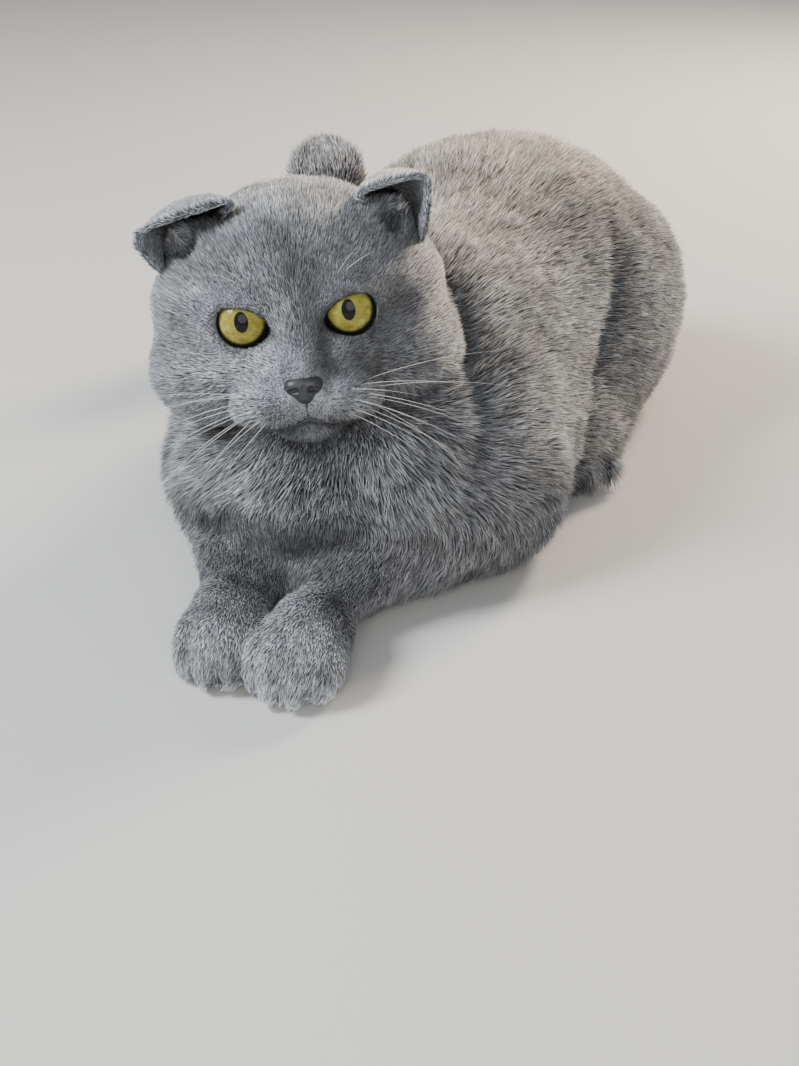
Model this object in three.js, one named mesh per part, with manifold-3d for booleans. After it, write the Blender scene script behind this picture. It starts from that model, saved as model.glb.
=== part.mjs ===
// A life-size scottish fold cat that lies in a loaf, its forepaws stretched out in front and its
// head turned to its left. Millimetres, +Z up. The body lies along Y with the head towards -Y, and
// +X is the cat's left. The solids show the outside of the coat, parted into the cat's named parts
// by cuts of about 0.3 mm.
import * as THREE from "three";
import { mergeVertices } from "three/addons/utils/BufferGeometryUtils.js";
import Module from "manifold-3d";

const wasm = await Module();
wasm.setup();

const vec = (x, y, z) => new THREE.Vector3(x, y, z);
const SIDES = [
  ["left", 1],
  ["right", -1],
];

// Driving sizes
const GAP = 0.3; // between parts that touch
const BACK_HEIGHT = 142;
const BODY_HALF_WIDTH = 80;
const RUMP_HALF_LENGTH = 106;
const RUMP_Y = 55;
const CHEST_CENTRE = vec(5, -114, 47);
const CHEST_HALF = vec(62, 57, 49);
const HEAD_CENTRE = vec(-9, -123, 114);
const HEAD_TURN = THREE.MathUtils.degToRad(26.5); // towards the cat's left
const HEAD_LIFT = THREE.MathUtils.degToRad(8); // nose above level
const HEAD_TILT = THREE.MathUtils.degToRad(6.3); // left eye above the right one
const SKULL_HALF = vec(50, 44, 41.5);
const CHEEK_SPREAD = 35;
const EYE_SPREAD = 20.9; // from the middle of the face to a pupil
const EYE_RADIUS = 12.5;
const EYE_DEPTH = 24; // the eyeball's centre in front of the head's centre
const EYE_SLANT = THREE.MathUtils.degToRad(22); // outer corner above the inner one
const NOSE_Z = -25;
const MUZZLE_Z = -31;
const TAIL_RADIUS = 21.5;

const BODY_BLEND = 18;
const FACE_BLEND = 8;
const NECK_BLEND = 8;

// Fields: each gives about how far a point is outside a form, in millimetres
function ellipsoid(centre, half) {
  return (p) => {
    const x = (p.x - centre.x) / half.x;
    const y = (p.y - centre.y) / half.y;
    const z = (p.z - centre.z) / half.z;
    const reach = Math.hypot(x, y, z);
    const slope = Math.hypot(x / half.x, y / half.y, z / half.z);
    return slope < 1e-9 ? -Math.min(half.x, half.y, half.z) : (reach * (reach - 1)) / slope;
  };
}

function rod(from, to, fromRadius, toRadius) {
  const line = to.clone().sub(from);
  return (p) => {
    const along = p.clone().sub(from).dot(line) / line.lengthSq();
    const t = THREE.MathUtils.clamp(along, 0, 1);
    const nearest = from.clone().addScaledVector(line, t);
    return p.distanceTo(nearest) - THREE.MathUtils.lerp(fromRadius, toRadius, t);
  };
}

function blendTwo(a, b, width) {
  const h = Math.max(width - Math.abs(a - b), 0) / width;
  return Math.min(a, b) - (h * h * width) / 4;
}

function blend(width, ...fields) {
  return (p) => fields.map((f) => f(p)).reduce((a, b) => blendTwo(a, b, width));
}

// The head's frame: x to the cat's left, y backwards, z up, with its origin at the skull's centre
function headFrame() {
  const level = Math.cos(HEAD_LIFT);
  const forward = vec(
    Math.sin(HEAD_TURN) * level,
    -Math.cos(HEAD_TURN) * level,
    Math.sin(HEAD_LIFT),
  );
  const leftLevel = vec(Math.cos(HEAD_TURN), Math.sin(HEAD_TURN), 0);
  const upLevel = forward.clone().cross(leftLevel);
  const left = leftLevel
    .clone()
    .multiplyScalar(Math.cos(HEAD_TILT))
    .addScaledVector(upLevel, Math.sin(HEAD_TILT));
  const up = forward.clone().cross(left);
  return new THREE.Matrix4()
    .makeBasis(left, forward.clone().negate(), up)
    .setPosition(HEAD_CENTRE);
}

const HEAD_TO_WORLD = headFrame();
const WORLD_TO_HEAD = HEAD_TO_WORLD.clone().invert();

function headField() {
  const forms = [
    ellipsoid(vec(0, 10, 6), SKULL_HALF),
    rod(vec(0, -23, 10), vec(0, -40.5, -19), 11, 8.5), // nose bridge
    ellipsoid(vec(0, -31, -41), vec(13.5, 12, 8.5)), // chin
  ];
  for (const [, side] of SIDES) {
    forms.push(ellipsoid(vec(side * 32, 3, 3), vec(27, 31, 25))); // temple
    forms.push(ellipsoid(vec(side * CHEEK_SPREAD, 0, -21), vec(28.5, 31, 25)));
    forms.push(ellipsoid(vec(side * 22, -18.5, 0.5), vec(17, 16.5, 15.5))); // around the eye
    forms.push(ellipsoid(vec(side * 17, -25, -15), vec(13, 12.5, 12))); // under the eye
    forms.push(ellipsoid(vec(side * 13, -34, MUZZLE_Z), vec(15.5, 12.5, 10)));
    forms.push(ellipsoid(vec(side * 37, 2, 27), vec(13, 15, 13))); // root of the ear
  }
  return blend(FACE_BLEND, ...forms);
}

function bodyField() {
  const rumpRise = 72;
  const forms = [
    ellipsoid(vec(2, -38, 58), vec(BODY_HALF_WIDTH - 2, 112, 71)), // ribs
    ellipsoid(
      vec(2, RUMP_Y, BACK_HEIGHT - rumpRise),
      vec(BODY_HALF_WIDTH, RUMP_HALF_LENGTH, rumpRise),
    ),
    ellipsoid(vec(2, -4, 26), vec(BODY_HALF_WIDTH + 3, 136, 48)), // fur spread on the floor
    ellipsoid(CHEST_CENTRE, CHEST_HALF),
  ];
  for (const [, side] of SIDES) {
    forms.push(ellipsoid(vec(2 + side * 56, 80, 52), vec(31, 72, 54))); // thigh
    forms.push(ellipsoid(vec(2 + side * 54, -84, 44), vec(31, 46, 46))); // shoulder
  }
  return blend(BODY_BLEND, ...forms);
}

const headOnly = headField();
const bodyOnly = bodyField();
const catField = (p) =>
  blendTwo(headOnly(p.clone().applyMatrix4(WORLD_TO_HEAD)), bodyOnly(p), NECK_BLEND);
const catFieldInHead = (p) => catField(p.clone().applyMatrix4(HEAD_TO_WORLD));

// Solids
function solid(geometry) {
  const bare = geometry.clone();
  bare.deleteAttribute("normal");
  bare.deleteAttribute("uv");
  const merged = mergeVertices(bare, 1e-4);
  return new wasm.Manifold(
    new wasm.Mesh({
      numProp: 3,
      vertProperties: Float32Array.from(merged.attributes.position.array),
      triVerts: Uint32Array.from(merged.index.array),
    }),
  );
}

function largest(whole) {
  return whole.decompose().reduce((a, b) => (b.volume() > a.volume() ? b : a));
}

function moveVertices(geometry, place) {
  const position = geometry.attributes.position;
  for (let i = 0; i < position.count; i++) {
    const p = place(vec().fromBufferAttribute(position, i), i);
    position.setXYZ(i, p.x, p.y, p.z);
  }
  return geometry;
}

// A ball whose every vertex is pushed out from the centre to where the field ends
function swell(field, centre, spread, detail, grow = 0, aim = (d) => d) {
  const step = 1.5;
  const ball = new THREE.IcosahedronGeometry(1, detail);
  ball.deleteAttribute("normal");
  ball.deleteAttribute("uv");
  const round = mergeVertices(ball, 1e-5);
  moveVertices(round, (v) => {
    const way = aim(v.normalize()).clone().multiply(spread).normalize();
    const outside = (r) => field(centre.clone().addScaledVector(way, r)) > grow;
    let far = step;
    while (far < 500 && !outside(far)) far += step;
    let near = far - step;
    for (let i = 0; i < 18; i++) {
      const middle = (near + far) / 2;
      if (outside(middle)) far = middle;
      else near = middle;
    }
    return centre.clone().addScaledVector(way, near);
  });
  return solid(round);
}

// A block that fills the side of a plane that its normal points to
function halfSpace(point, normal, grow = 0) {
  const size = 1200;
  const block = new THREE.BoxGeometry(size, size, size);
  const turn = new THREE.Quaternion().setFromUnitVectors(vec(0, 0, 1), normal.clone().normalize());
  const centre = point.clone().addScaledVector(normal.clone().normalize(), size / 2 - grow);
  block.applyMatrix4(new THREE.Matrix4().compose(centre, turn, vec(1, 1, 1)));
  return solid(block);
}

const aboveFloor = halfSpace(vec(0, 0, 0), vec(0, 0, 1));

// A round-ended limb along a curve, made of a sphere whose poles are its ends
function limbAlong(curve, radiusAt, aroundCount, alongCount, grow = 0) {
  const ball = new THREE.SphereGeometry(1, aroundCount, alongCount);
  return solid(
    moveVertices(ball, (v) => {
      const even = Math.acos(THREE.MathUtils.clamp(v.y, -1, 1)) / Math.PI;
      const along = THREE.MathUtils.lerp(even, (1 - v.y) / 2, 0.6);
      const point = curve.getPointAt(along);
      const tangent = curve.getTangentAt(along);
      const side = vec(0, 0, 1).cross(tangent).normalize();
      const rise = tangent.clone().cross(side);
      const round = Math.hypot(v.x, v.z);
      if (round < 1e-6) return point.addScaledVector(tangent, along > 0.5 ? grow : -grow);
      const radius = radiusAt(along) + (along > 0 && along < 1 ? grow : 0);
      return point
        .addScaledVector(side, (v.x / round) * radius)
        .addScaledVector(rise, (v.z / round) * radius);
    }),
  );
}

// Head: more of its vertices crowd towards the face
const FACE_CROWDING = 0.45;
function towardsFace(d) {
  const angle = Math.acos(THREE.MathUtils.clamp(-d.y, -1, 1));
  const across = vec(d.x, 0, d.z);
  if (across.length() < 1e-6) return d;
  const turned = angle - FACE_CROWDING * Math.sin(angle);
  return across
    .normalize()
    .multiplyScalar(Math.sin(turned))
    .add(vec(0, -Math.cos(turned), 0));
}

// Where the face's surface lies at a place seen from the front, in the head's frame
function onFace(x, z, sink = 0) {
  let y = -80;
  while (catFieldInHead(vec(x, y, z)) > 0 && y < 20) y += 0.2;
  return vec(x, y + sink, z);
}

// Two planes part the head from the neck, and the same two further out part the neck from the
// torso
const NAPE_CUT = { point: vec(0, 50, 20), normal: vec(0, -66, 62) };
const THROAT_CUT = { point: vec(0, 0, -50), normal: vec(0, 0, 1) };
const NECK_LENGTH = 27;

function headRegion(grow = 0) {
  return halfSpace(NAPE_CUT.point, NAPE_CUT.normal, grow).intersect(
    halfSpace(THROAT_CUT.point, THROAT_CUT.normal, grow),
  );
}

function inHeadFrame(shape) {
  return shape.transform(HEAD_TO_WORLD.toArray());
}

function eyePlace(side) {
  return vec(side * EYE_SPREAD, -EYE_DEPTH, 0);
}

// The rim of one eye's opening lies on the eyeball and reaches down to the corner by the nose
const LID_HALF = { wide: 10.3, high: 8.5, thick: 1.5 };
const CORNER_REACH = 0.14;

function lidPoint(side, around, out, lift) {
  const inner = Math.max(-side * Math.cos(around), 0);
  const wide = Math.cos(around) * (LID_HALF.wide * (1 + CORNER_REACH * inner ** 6) + out);
  const high = Math.sin(around) * (LID_HALF.high + out);
  const slant = side * EYE_SLANT;
  const x = wide * Math.cos(slant) - high * Math.sin(slant);
  const z = wide * Math.sin(slant) + high * Math.cos(slant);
  const reach = EYE_RADIUS + lift;
  const y = -Math.sqrt(Math.max(reach * reach - x * x - z * z, 9));
  return eyePlace(side).add(vec(x, y, z));
}

function eyelid(side) {
  const tube = 0.1;
  return solid(
    moveVertices(new THREE.TorusGeometry(1, tube, 5, 22), (v) => {
      const out = ((Math.hypot(v.x, v.y) - 1) / tube) * LID_HALF.thick;
      const lift = 0.4 + (v.z / tube) * LID_HALF.thick * 0.8;
      return lidPoint(side, Math.atan2(v.y, v.x), out, lift);
    }),
  );
}

// What is taken out of the face in front of an eyeball
function eyeOpening(side) {
  const depth = 60;
  const bore = new THREE.CylinderGeometry(1, 1, depth, 22);
  return solid(
    moveVertices(bore, (v) => {
      const edge = lidPoint(side, Math.atan2(v.z, v.x), 0, 0);
      const centre = eyePlace(side);
      const inward = Math.min(Math.hypot(v.x, v.z), 1);
      const p = centre.clone().lerp(edge, inward);
      return p.setY(centre.y - depth / 2 + v.y);
    }),
  );
}

// The line of the mouth: down from the nose, then out under both whisker pads
const MOUTH_HALF_WIDTH = 25;
const MOUTH_Z = -37.5;
function mouthCut() {
  const groove = new THREE.Shape();
  groove.absarc(0, 0, 1.1, 0, Math.PI * 2);
  const tube = (points, steps) =>
    solid(
      new THREE.ExtrudeGeometry(groove, {
        steps,
        curveSegments: 3,
        extrudePath: new THREE.CatmullRomCurve3(points),
      }),
    );
  const lips = [];
  for (let i = -6; i <= 6; i++) {
    const out = Math.abs(i) / 6;
    const sag = 2.6 * Math.sin(Math.min(out * 2, 1) * (Math.PI / 2));
    const curl = 12 * Math.max(out - 0.5, 0) ** 1.5;
    lips.push(onFace((i / 6) * MOUTH_HALF_WIDTH, MOUTH_Z - sag + curl, -0.1));
  }
  const philtrum = [0, 1, 2, 3].map((i) => onFace(0, NOSE_Z - 4 - i * 3, -0.2));
  return tube(lips, 16).add(tube(philtrum, 3));
}

// Nose leather with two comma-shaped nostrils
function nose(grow = 0) {
  const tip = onFace(0, NOSE_Z);
  const pad = blend(
    3,
    ellipsoid(vec(0, tip.y + 0.8, NOSE_Z + 2.2), vec(7, 3.6, 3.2)),
    ellipsoid(vec(0, tip.y + 0.8, NOSE_Z - 1.5), vec(3.6, 3.4, 4)),
  );
  return swell(pad, vec(0, tip.y + 0.8, NOSE_Z + 0.5), vec(1.6, 1, 1.2), 3, grow);
}

function nostrils() {
  const tip = onFace(0, NOSE_Z);
  const pair = SIDES.map(([, side]) => {
    const pit = new THREE.SphereGeometry(1, 10, 7);
    pit.scale(1.9, 2.4, 1.1);
    pit.rotateY(side * 0.5);
    pit.translate(side * 4.1, tip.y - 2.2, NOSE_Z + 0.6);
    return solid(pit);
  });
  return pair[0].add(pair[1]);
}

// A folded ear: a cupped sheet that rises from an arc on the head and bends over to its tip. The
// left ear stands a little higher than the right one.
const EAR_THICKNESS = 3.6;
const EARS = {
  left: { inner: vec(29, -10, 39), tip: vec(55.5, -15, 43), hood: 12 },
  right: { inner: vec(20, -13, 42), tip: vec(58, -15, 34), hood: 12 },
};
const EAR_OUTER = vec(49, -5, 17);
const EAR_BEHIND = vec(37, 34, 42);
const EAR_CUP = { centre: vec(38, -11, 27), half: vec(9.5, 11, 10.5) };

function earPoint(side, { inner, tip, hood }, across, along) {
  const base = new THREE.QuadraticBezierCurve3(inner, EAR_BEHIND, EAR_OUTER).getPoint(across);
  const rise = 3 + hood * Math.sin(Math.PI * across);
  const way = vec(0, -0.3, 1).lerp(vec(1, -0.3, 0.4), across);
  const bend = base.clone().addScaledVector(way, rise);
  const p = new THREE.QuadraticBezierCurve3(base, bend, tip).getPoint(along);
  const blunt = (0.5 - across) * 5 * along;
  return vec(side * (p.x - 0.3 * blunt), p.y - 0.3 * blunt, p.z + blunt);
}

function ear(name, side) {
  const sheet = new THREE.BoxGeometry(1, 1, 1, 8, 6, 1);
  const step = 1e-3;
  const at = (across, along) => earPoint(side, EARS[name], across, along);
  return solid(
    moveVertices(sheet, (v) => {
      const across = v.x + 0.5;
      const along = v.y + 0.5;
      const a = THREE.MathUtils.clamp(across, step, 1 - step);
      const b = THREE.MathUtils.clamp(along, step, 1 - step);
      const du = at(a + step, b).sub(at(a - step, b));
      const dv = at(a, b + step).sub(at(a, b - step));
      const normal = du.cross(dv).normalize();
      const rim = 1 - 0.45 * Math.pow(Math.abs(2 * across - 1), 6) - 0.3 * Math.pow(along, 4);
      return at(across, along).addScaledVector(normal, v.z * EAR_THICKNESS * rim);
    }),
  );
}

function earCup(side) {
  const bowl = new THREE.SphereGeometry(1, 12, 8);
  bowl.scale(EAR_CUP.half.x, EAR_CUP.half.y, EAR_CUP.half.z);
  bowl.translate(side * EAR_CUP.centre.x, EAR_CUP.centre.y, EAR_CUP.centre.z);
  return solid(bowl);
}

// Front legs
const FRONT_LEGS = {
  left: { elbow: vec(70, -88, 26), wrist: vec(30, -166, 19), tip: vec(40.5, -241, 14) },
  right: { elbow: vec(-62, -106, 26), wrist: vec(-10, -174, 19), tip: vec(15, -240, 14) },
};
const TOE_SPREAD = [-12.4, -4.3, 4.3, 12.4];
const FRONT_PAW = { half: vec(16.5, 30, 17), toeHalf: vec(6.6, 14, 12), toeForward: 11 };

function pawField(from, tip, sizes) {
  const forward = tip.clone().sub(from).setZ(0).normalize();
  const left = vec(0, 0, 1).cross(forward);
  const toLocal = new THREE.Matrix4()
    .makeBasis(left, forward.clone().negate(), vec(0, 0, 1))
    .setPosition(tip.clone().setZ(0))
    .invert();
  const toes = TOE_SPREAD.map((x) => {
    const back = 0.045 * x * x;
    return ellipsoid(vec(x, sizes.toeForward + 3 + back, 10), sizes.toeHalf);
  });
  const hand = ellipsoid(vec(0, sizes.half.y + 6, 13), sizes.half);
  const whole = (p) => blendTwo(hand(p), toes.map((f) => f(p)).reduce((a, b) => blendTwo(a, b, 2.5)), 7);
  return (p) => whole(p.clone().applyMatrix4(toLocal));
}

function frontLegField({ elbow, wrist, tip }) {
  return blend(9, rod(elbow, wrist, 26, 18.5), pawField(wrist, tip, FRONT_PAW));
}

function wristPlane({ wrist, tip }, grow) {
  const forward = tip.clone().sub(wrist).setZ(0).normalize();
  return halfSpace(wrist.clone().addScaledVector(forward, 4), forward, grow);
}

function frontLeg(leg, grow = 0) {
  const middle = leg.elbow.clone().lerp(leg.wrist, 0.55);
  const along = leg.wrist.clone().sub(leg.elbow);
  const spread = vec(24 + Math.abs(along.x) * 0.5, 24 + Math.abs(along.y) * 0.5, 26);
  return swell(frontLegField(leg), middle, spread, 4, grow).intersect(aboveFloor);
}

function frontPaw(leg, grow = 0) {
  const middle = leg.tip.clone().lerp(leg.wrist, 0.42).setZ(12);
  return swell(frontLegField(leg), middle, vec(18, 36, 16), 5, grow).intersect(aboveFloor);
}

// Hind legs: the thigh is a piece of the body's side, and the foot shows under it
const THIGH = { centre: vec(78, 80, 46), half: vec(36, 72, 56) };
const HIND_FEET = {
  left: { heel: vec(66, 56, 12), tip: vec(79, -26, 12) },
  right: { heel: vec(-62, 56, 12), tip: vec(-75, -26, 12) },
};
const HIND_PAW = { half: vec(16, 42, 14), toeHalf: vec(6.2, 13, 10.5), toeForward: 10 };

function thighRegion(side, grow = 0) {
  const ball = new THREE.SphereGeometry(1, 18, 10);
  ball.scale(THIGH.half.x + grow, THIGH.half.y + grow, THIGH.half.z + grow);
  ball.translate(side * THIGH.centre.x, THIGH.centre.y, THIGH.centre.z);
  return solid(ball);
}

function hindPaw({ heel, tip }, grow = 0) {
  const middle = heel.clone().lerp(tip, 0.45);
  return swell(pawField(heel, tip, HIND_PAW), middle, vec(17, 44, 14), 3, grow).intersect(aboveFloor);
}

// Tail: out of the rump, round the cat's right side, its end lifted
const TAIL_PATH = new THREE.CatmullRomCurve3([
  vec(6, 132, 52),
  vec(-6, 168, 36),
  vec(-40, 190, 23),
  vec(-84, 184, 22),
  vec(-114, 158, 38),
  vec(-124, 132, 72),
  vec(-121, 110, 121),
]);
const TAIL_CUTS = [0.42, 0.72];

function tailRadius(along) {
  const tip = Math.min((1 - along) * 11, 1);
  const root = Math.min(along * 14, 1);
  const round = Math.sqrt(1 - (1 - tip) ** 2) * Math.sqrt(1 - (1 - root) ** 2);
  return (TAIL_RADIUS + 5 * (1 - along) ** 2) * Math.max(round, 0.02);
}

function tailPiece(whole, from, to) {
  let piece = whole;
  if (from > 0) {
    piece = piece.intersect(
      halfSpace(TAIL_PATH.getPointAt(from), TAIL_PATH.getTangentAt(from), -GAP / 2),
    );
  }
  if (to < 1) {
    piece = piece.intersect(
      halfSpace(TAIL_PATH.getPointAt(to), TAIL_PATH.getTangentAt(to).negate(), -GAP / 2),
    );
  }
  return largest(piece);
}

// Materials
const COLOURS = {
  coat: new THREE.MeshStandardMaterial({ color: 0x7f8288, roughness: 0.9, metalness: 0 }),
  leather: new THREE.MeshStandardMaterial({ color: 0x3d3f44, roughness: 0.6, metalness: 0 }),
  eye: new THREE.MeshStandardMaterial({ color: 0xb5a83a, roughness: 0.08, metalness: 0 }),
};

function node(name, shape, material, parent) {
  const cut = largest(shape).getMesh();
  const geometry = new THREE.BufferGeometry();
  const count = cut.numProp;
  const flat = new Float32Array(cut.numVert * 3);
  for (let i = 0; i < cut.numVert; i++) {
    flat.set(cut.vertProperties.subarray(i * count, i * count + 3), i * 3);
  }
  geometry.setAttribute("position", new THREE.BufferAttribute(flat, 3));
  geometry.setIndex(new THREE.BufferAttribute(cut.triVerts, 1));
  geometry.computeVertexNormals();
  const mesh = new THREE.Mesh(geometry, material.clone());
  mesh.name = name;
  parent.add(mesh);
  return mesh;
}

const cat = new THREE.Group();
const headGroup = new THREE.Group();
headGroup.applyMatrix4(HEAD_TO_WORLD);
cat.add(headGroup);

// Head, face and ears, in the head's frame
function buildHead() {
  const round = vec(1, 1, 1);
  const swollen = (grow) => swell(catFieldInHead, vec(0, 0, 0), round, 11, grow, towardsFace);
  let head = swollen(0).intersect(headRegion());
  for (const [name, side] of SIDES) {
    const place = eyePlace(side);
    const socket = new THREE.SphereGeometry(EYE_RADIUS + 2 * GAP, 20, 12);
    socket.translate(place.x, place.y, place.z);
    const ball = new THREE.SphereGeometry(EYE_RADIUS, 16, 10);
    ball.translate(place.x, place.y, place.z);
    head = head.subtract(eyeOpening(side)).add(eyelid(side)).subtract(solid(socket));
    head = head.subtract(earCup(side));
    node("eye_" + name, solid(ball), COLOURS.eye, headGroup);
  }
  head = head.subtract(mouthCut()).subtract(nose(GAP));
  node("head", head, COLOURS.coat, headGroup);
  node("nose", nose().subtract(nostrils()), COLOURS.leather, headGroup);
  const grown = swollen(GAP);
  for (const [name, side] of SIDES) {
    node("ear_" + name, ear(name, side).subtract(grown), COLOURS.coat, headGroup);
  }
}

function buildBody() {
  const swollen = (grow) => swell(catField, vec(2, 0, 60), vec(86, 165, 84), 7, grow);
  const legs = SIDES.map(([name]) => ({ name, leg: FRONT_LEGS[name], foot: HIND_FEET[name] }));

  let trunk = swollen(0).intersect(aboveFloor);
  const neckCentre = vec(0, 26, -30).applyMatrix4(HEAD_TO_WORLD);
  let neck = swell(catField, neckCentre, vec(70, 70, 44), 5)
    .intersect(inHeadFrame(headRegion(NECK_LENGTH)))
    .subtract(inHeadFrame(headRegion(GAP)));
  for (const { leg, foot } of legs) {
    const front = frontLeg(leg, GAP).add(frontPaw(leg, GAP));
    trunk = trunk.subtract(front.add(hindPaw(foot, GAP)));
    neck = neck.subtract(front);
  }
  for (const [name, side] of SIDES) {
    node("thigh_" + name, trunk.intersect(thighRegion(side)), COLOURS.coat, cat);
    trunk = trunk.subtract(thighRegion(side, GAP));
  }
  const torso = trunk.subtract(inHeadFrame(headRegion(NECK_LENGTH + GAP)));
  node("neck", neck, COLOURS.coat, cat);
  node("torso", torso, COLOURS.coat, cat);

  // The right forepaw lies against the left one
  const leftLimb = frontLeg(FRONT_LEGS.left, GAP).add(frontPaw(FRONT_LEGS.left, GAP));
  for (const { name, leg, foot } of legs) {
    let limb = frontLeg(leg).subtract(wristPlane(leg, GAP));
    let paw = frontPaw(leg).intersect(wristPlane(leg, 0));
    if (name === "right") {
      limb = limb.subtract(leftLimb);
      paw = paw.subtract(leftLimb);
    }
    node("front_leg_" + name, limb, COLOURS.coat, cat);
    node("front_paw_" + name, paw, COLOURS.coat, cat);
    node("hind_paw_" + name, hindPaw(foot), COLOURS.coat, cat);
  }

  const tail = limbAlong(TAIL_PATH, tailRadius, 12, 24)
    .intersect(aboveFloor)
    .subtract(swollen(GAP));
  const ends = [0, ...TAIL_CUTS, 1];
  ["tail_root", "tail_middle", "tail_tip"].forEach((name, i) => {
    node(name, tailPiece(tail, ends[i], ends[i + 1]), COLOURS.coat, cat);
  });
}

buildHead();
buildBody();

export default cat;
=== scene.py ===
"""Dresses the still model of a lying scottish fold cat: skin, coat, eyes, nose, whiskers and stage."""

import math

import bmesh
import bpy
import numpy as np
import openvdb
from bpy.props import FloatProperty, FloatVectorProperty, IntProperty, PointerProperty
from mathutils import Matrix, Vector


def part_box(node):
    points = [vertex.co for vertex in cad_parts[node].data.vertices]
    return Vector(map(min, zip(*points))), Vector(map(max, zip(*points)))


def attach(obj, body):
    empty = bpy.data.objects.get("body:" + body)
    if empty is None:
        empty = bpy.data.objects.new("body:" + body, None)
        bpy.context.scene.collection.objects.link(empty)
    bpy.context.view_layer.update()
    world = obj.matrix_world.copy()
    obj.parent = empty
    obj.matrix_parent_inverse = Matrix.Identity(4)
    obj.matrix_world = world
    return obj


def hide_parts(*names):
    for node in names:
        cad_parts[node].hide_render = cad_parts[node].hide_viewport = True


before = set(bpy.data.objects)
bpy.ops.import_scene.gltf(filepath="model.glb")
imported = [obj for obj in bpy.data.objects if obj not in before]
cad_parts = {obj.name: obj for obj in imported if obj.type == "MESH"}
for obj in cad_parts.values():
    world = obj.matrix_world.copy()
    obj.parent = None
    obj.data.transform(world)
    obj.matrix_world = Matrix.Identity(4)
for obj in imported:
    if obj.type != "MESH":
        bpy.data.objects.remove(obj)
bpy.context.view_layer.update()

bl_info = {
    "name": "Scottish Fold Cat",
    "version": (1, 0, 0),
    "blender": (4, 5, 0),
    "location": "View3D > Sidebar > Cat",
    "description": "Skin, coat, eyes, nose and whiskers of a lying scottish fold cat",
    "category": "Object",
}

MM = 0.001
SIDES = (("left", 1), ("right", -1))

# Sizes of the body in millimetres, the same as in the solids
BACK_HEIGHT = 142
BODY_HALF_WIDTH = 80
RUMP_HALF_LENGTH = 106
RUMP_Y = 55
RUMP_RISE = 72
CHEST_CENTRE = (5, -114, 47)
CHEST_HALF = (62, 57, 49)
BIB_CENTRE = (0, -127, 39)
BIB_HALF = (60, 52, 29)
WRIST_GAP_CENTRE = (9, -166, 15)
WRIST_GAP_HALF = (19, 19, 14)
HEAD_CENTRE = (-9, -123, 114)
HEAD_TURN = math.radians(26.5)
HEAD_LIFT = math.radians(8)
HEAD_TILT = math.radians(6.3)
SKULL_HALF = (50, 44, 41.5)
CHEEK_SPREAD = 35
EYE_SPREAD = 20.9
EYE_RADIUS = 12.5
EYE_DEPTH = 24
EYE_SLANT = math.radians(22)
NOSE_Z = -25
MUZZLE_Z = -31
MOUTH_Z = -37.5
MOUTH_HALF_WIDTH = 24
TAIL_RADIUS = 21.5
SKIN_LOW = (-152, -250, -4)
SKIN_HIGH = (104, 222, 172)
SKIN_CLEARANCE = 0.6
EAR_HAIR = 2.9
BODY_BLEND = 18
FACE_BLEND = 8
NECK_BLEND = 8
LEG_BLEND = 4
LID_HALF_WIDE = 9.9
LID_UPPER = 6.1
LID_LOWER = 9.8
LID_THICK = 0.6
CORNER_REACH = 0.2
EAR_OUTER = (49, -5, 17)
EAR_BEHIND = (37, 34, 42)
EARS = {
    "left": {"inner": (29, -10, 39), "tip": (55.5, -15, 43), "hood": 12},
    "right": {"inner": (20, -13, 42), "tip": (58, -15, 34), "hood": 12},
}
EAR_CUP_CENTRE = (41, -11, 29)
EAR_CUP_HALF = (6, 8, 7)
FRONT_LEGS = {
    "left": {"elbow": (70, -88, 26), "wrist": (30, -166, 19), "tip": (40.5, -241, 14)},
    "right": {"elbow": (-62, -106, 26), "wrist": (-10, -174, 19), "tip": (15, -240, 14)},
}
FRONT_PAW = {"half": (16.5, 30, 17), "toe_half": (6.6, 14, 12), "toe_forward": 11}
HIND_FEET = {
    "left": {"heel": (66, 56, 12), "tip": (79, -26, 12)},
    "right": {"heel": (-62, 56, 12), "tip": (-75, -26, 12)},
}
HIND_PAW = {"half": (16, 42, 14), "toe_half": (6.2, 13, 10.5), "toe_forward": 10}
TOE_SPREAD = (-12.4, -4.3, 4.3, 12.4)
TAIL_POINTS = (
    (6, 132, 52),
    (-6, 168, 36),
    (-40, 190, 23),
    (-84, 184, 22),
    (-114, 158, 38),
    (-124, 132, 72),
    (-121, 110, 121),
)

# The photograph's camera, in metres and degrees
CAMERA_PLACE = (0.2862, -0.6611, 0.322)
CAMERA_TURN = 25.0
CAMERA_DIP = 27.0
FOCAL_PIXELS = 1600
PICTURE_HIGH = 1066
SENSOR = 36.0


class CatSkinSettings(bpy.types.PropertyGroup):
    voxel: FloatProperty(
        name="Skin detail",
        description="Edge of the cells that the skin is meshed in, in millimetres",
        default=1.82,
        min=1.0,
    )
    inset: FloatProperty(
        name="Coat share",
        description="How far the skin lies under the coat's outside, as a share of the coat's rise",
        default=0.8,
    )
    collar_crease: FloatProperty(
        name="Collar crease", description="Depth of the parting behind the ruff, in mm", default=3.5
    )
    jaw_crease: FloatProperty(
        name="Jaw crease", description="Depth of the parting under the head, in millimetres", default=6.5
    )
    thigh_crease: FloatProperty(
        name="Thigh crease", description="Depth of the parting before the thigh, in mm", default=3.0
    )


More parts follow.
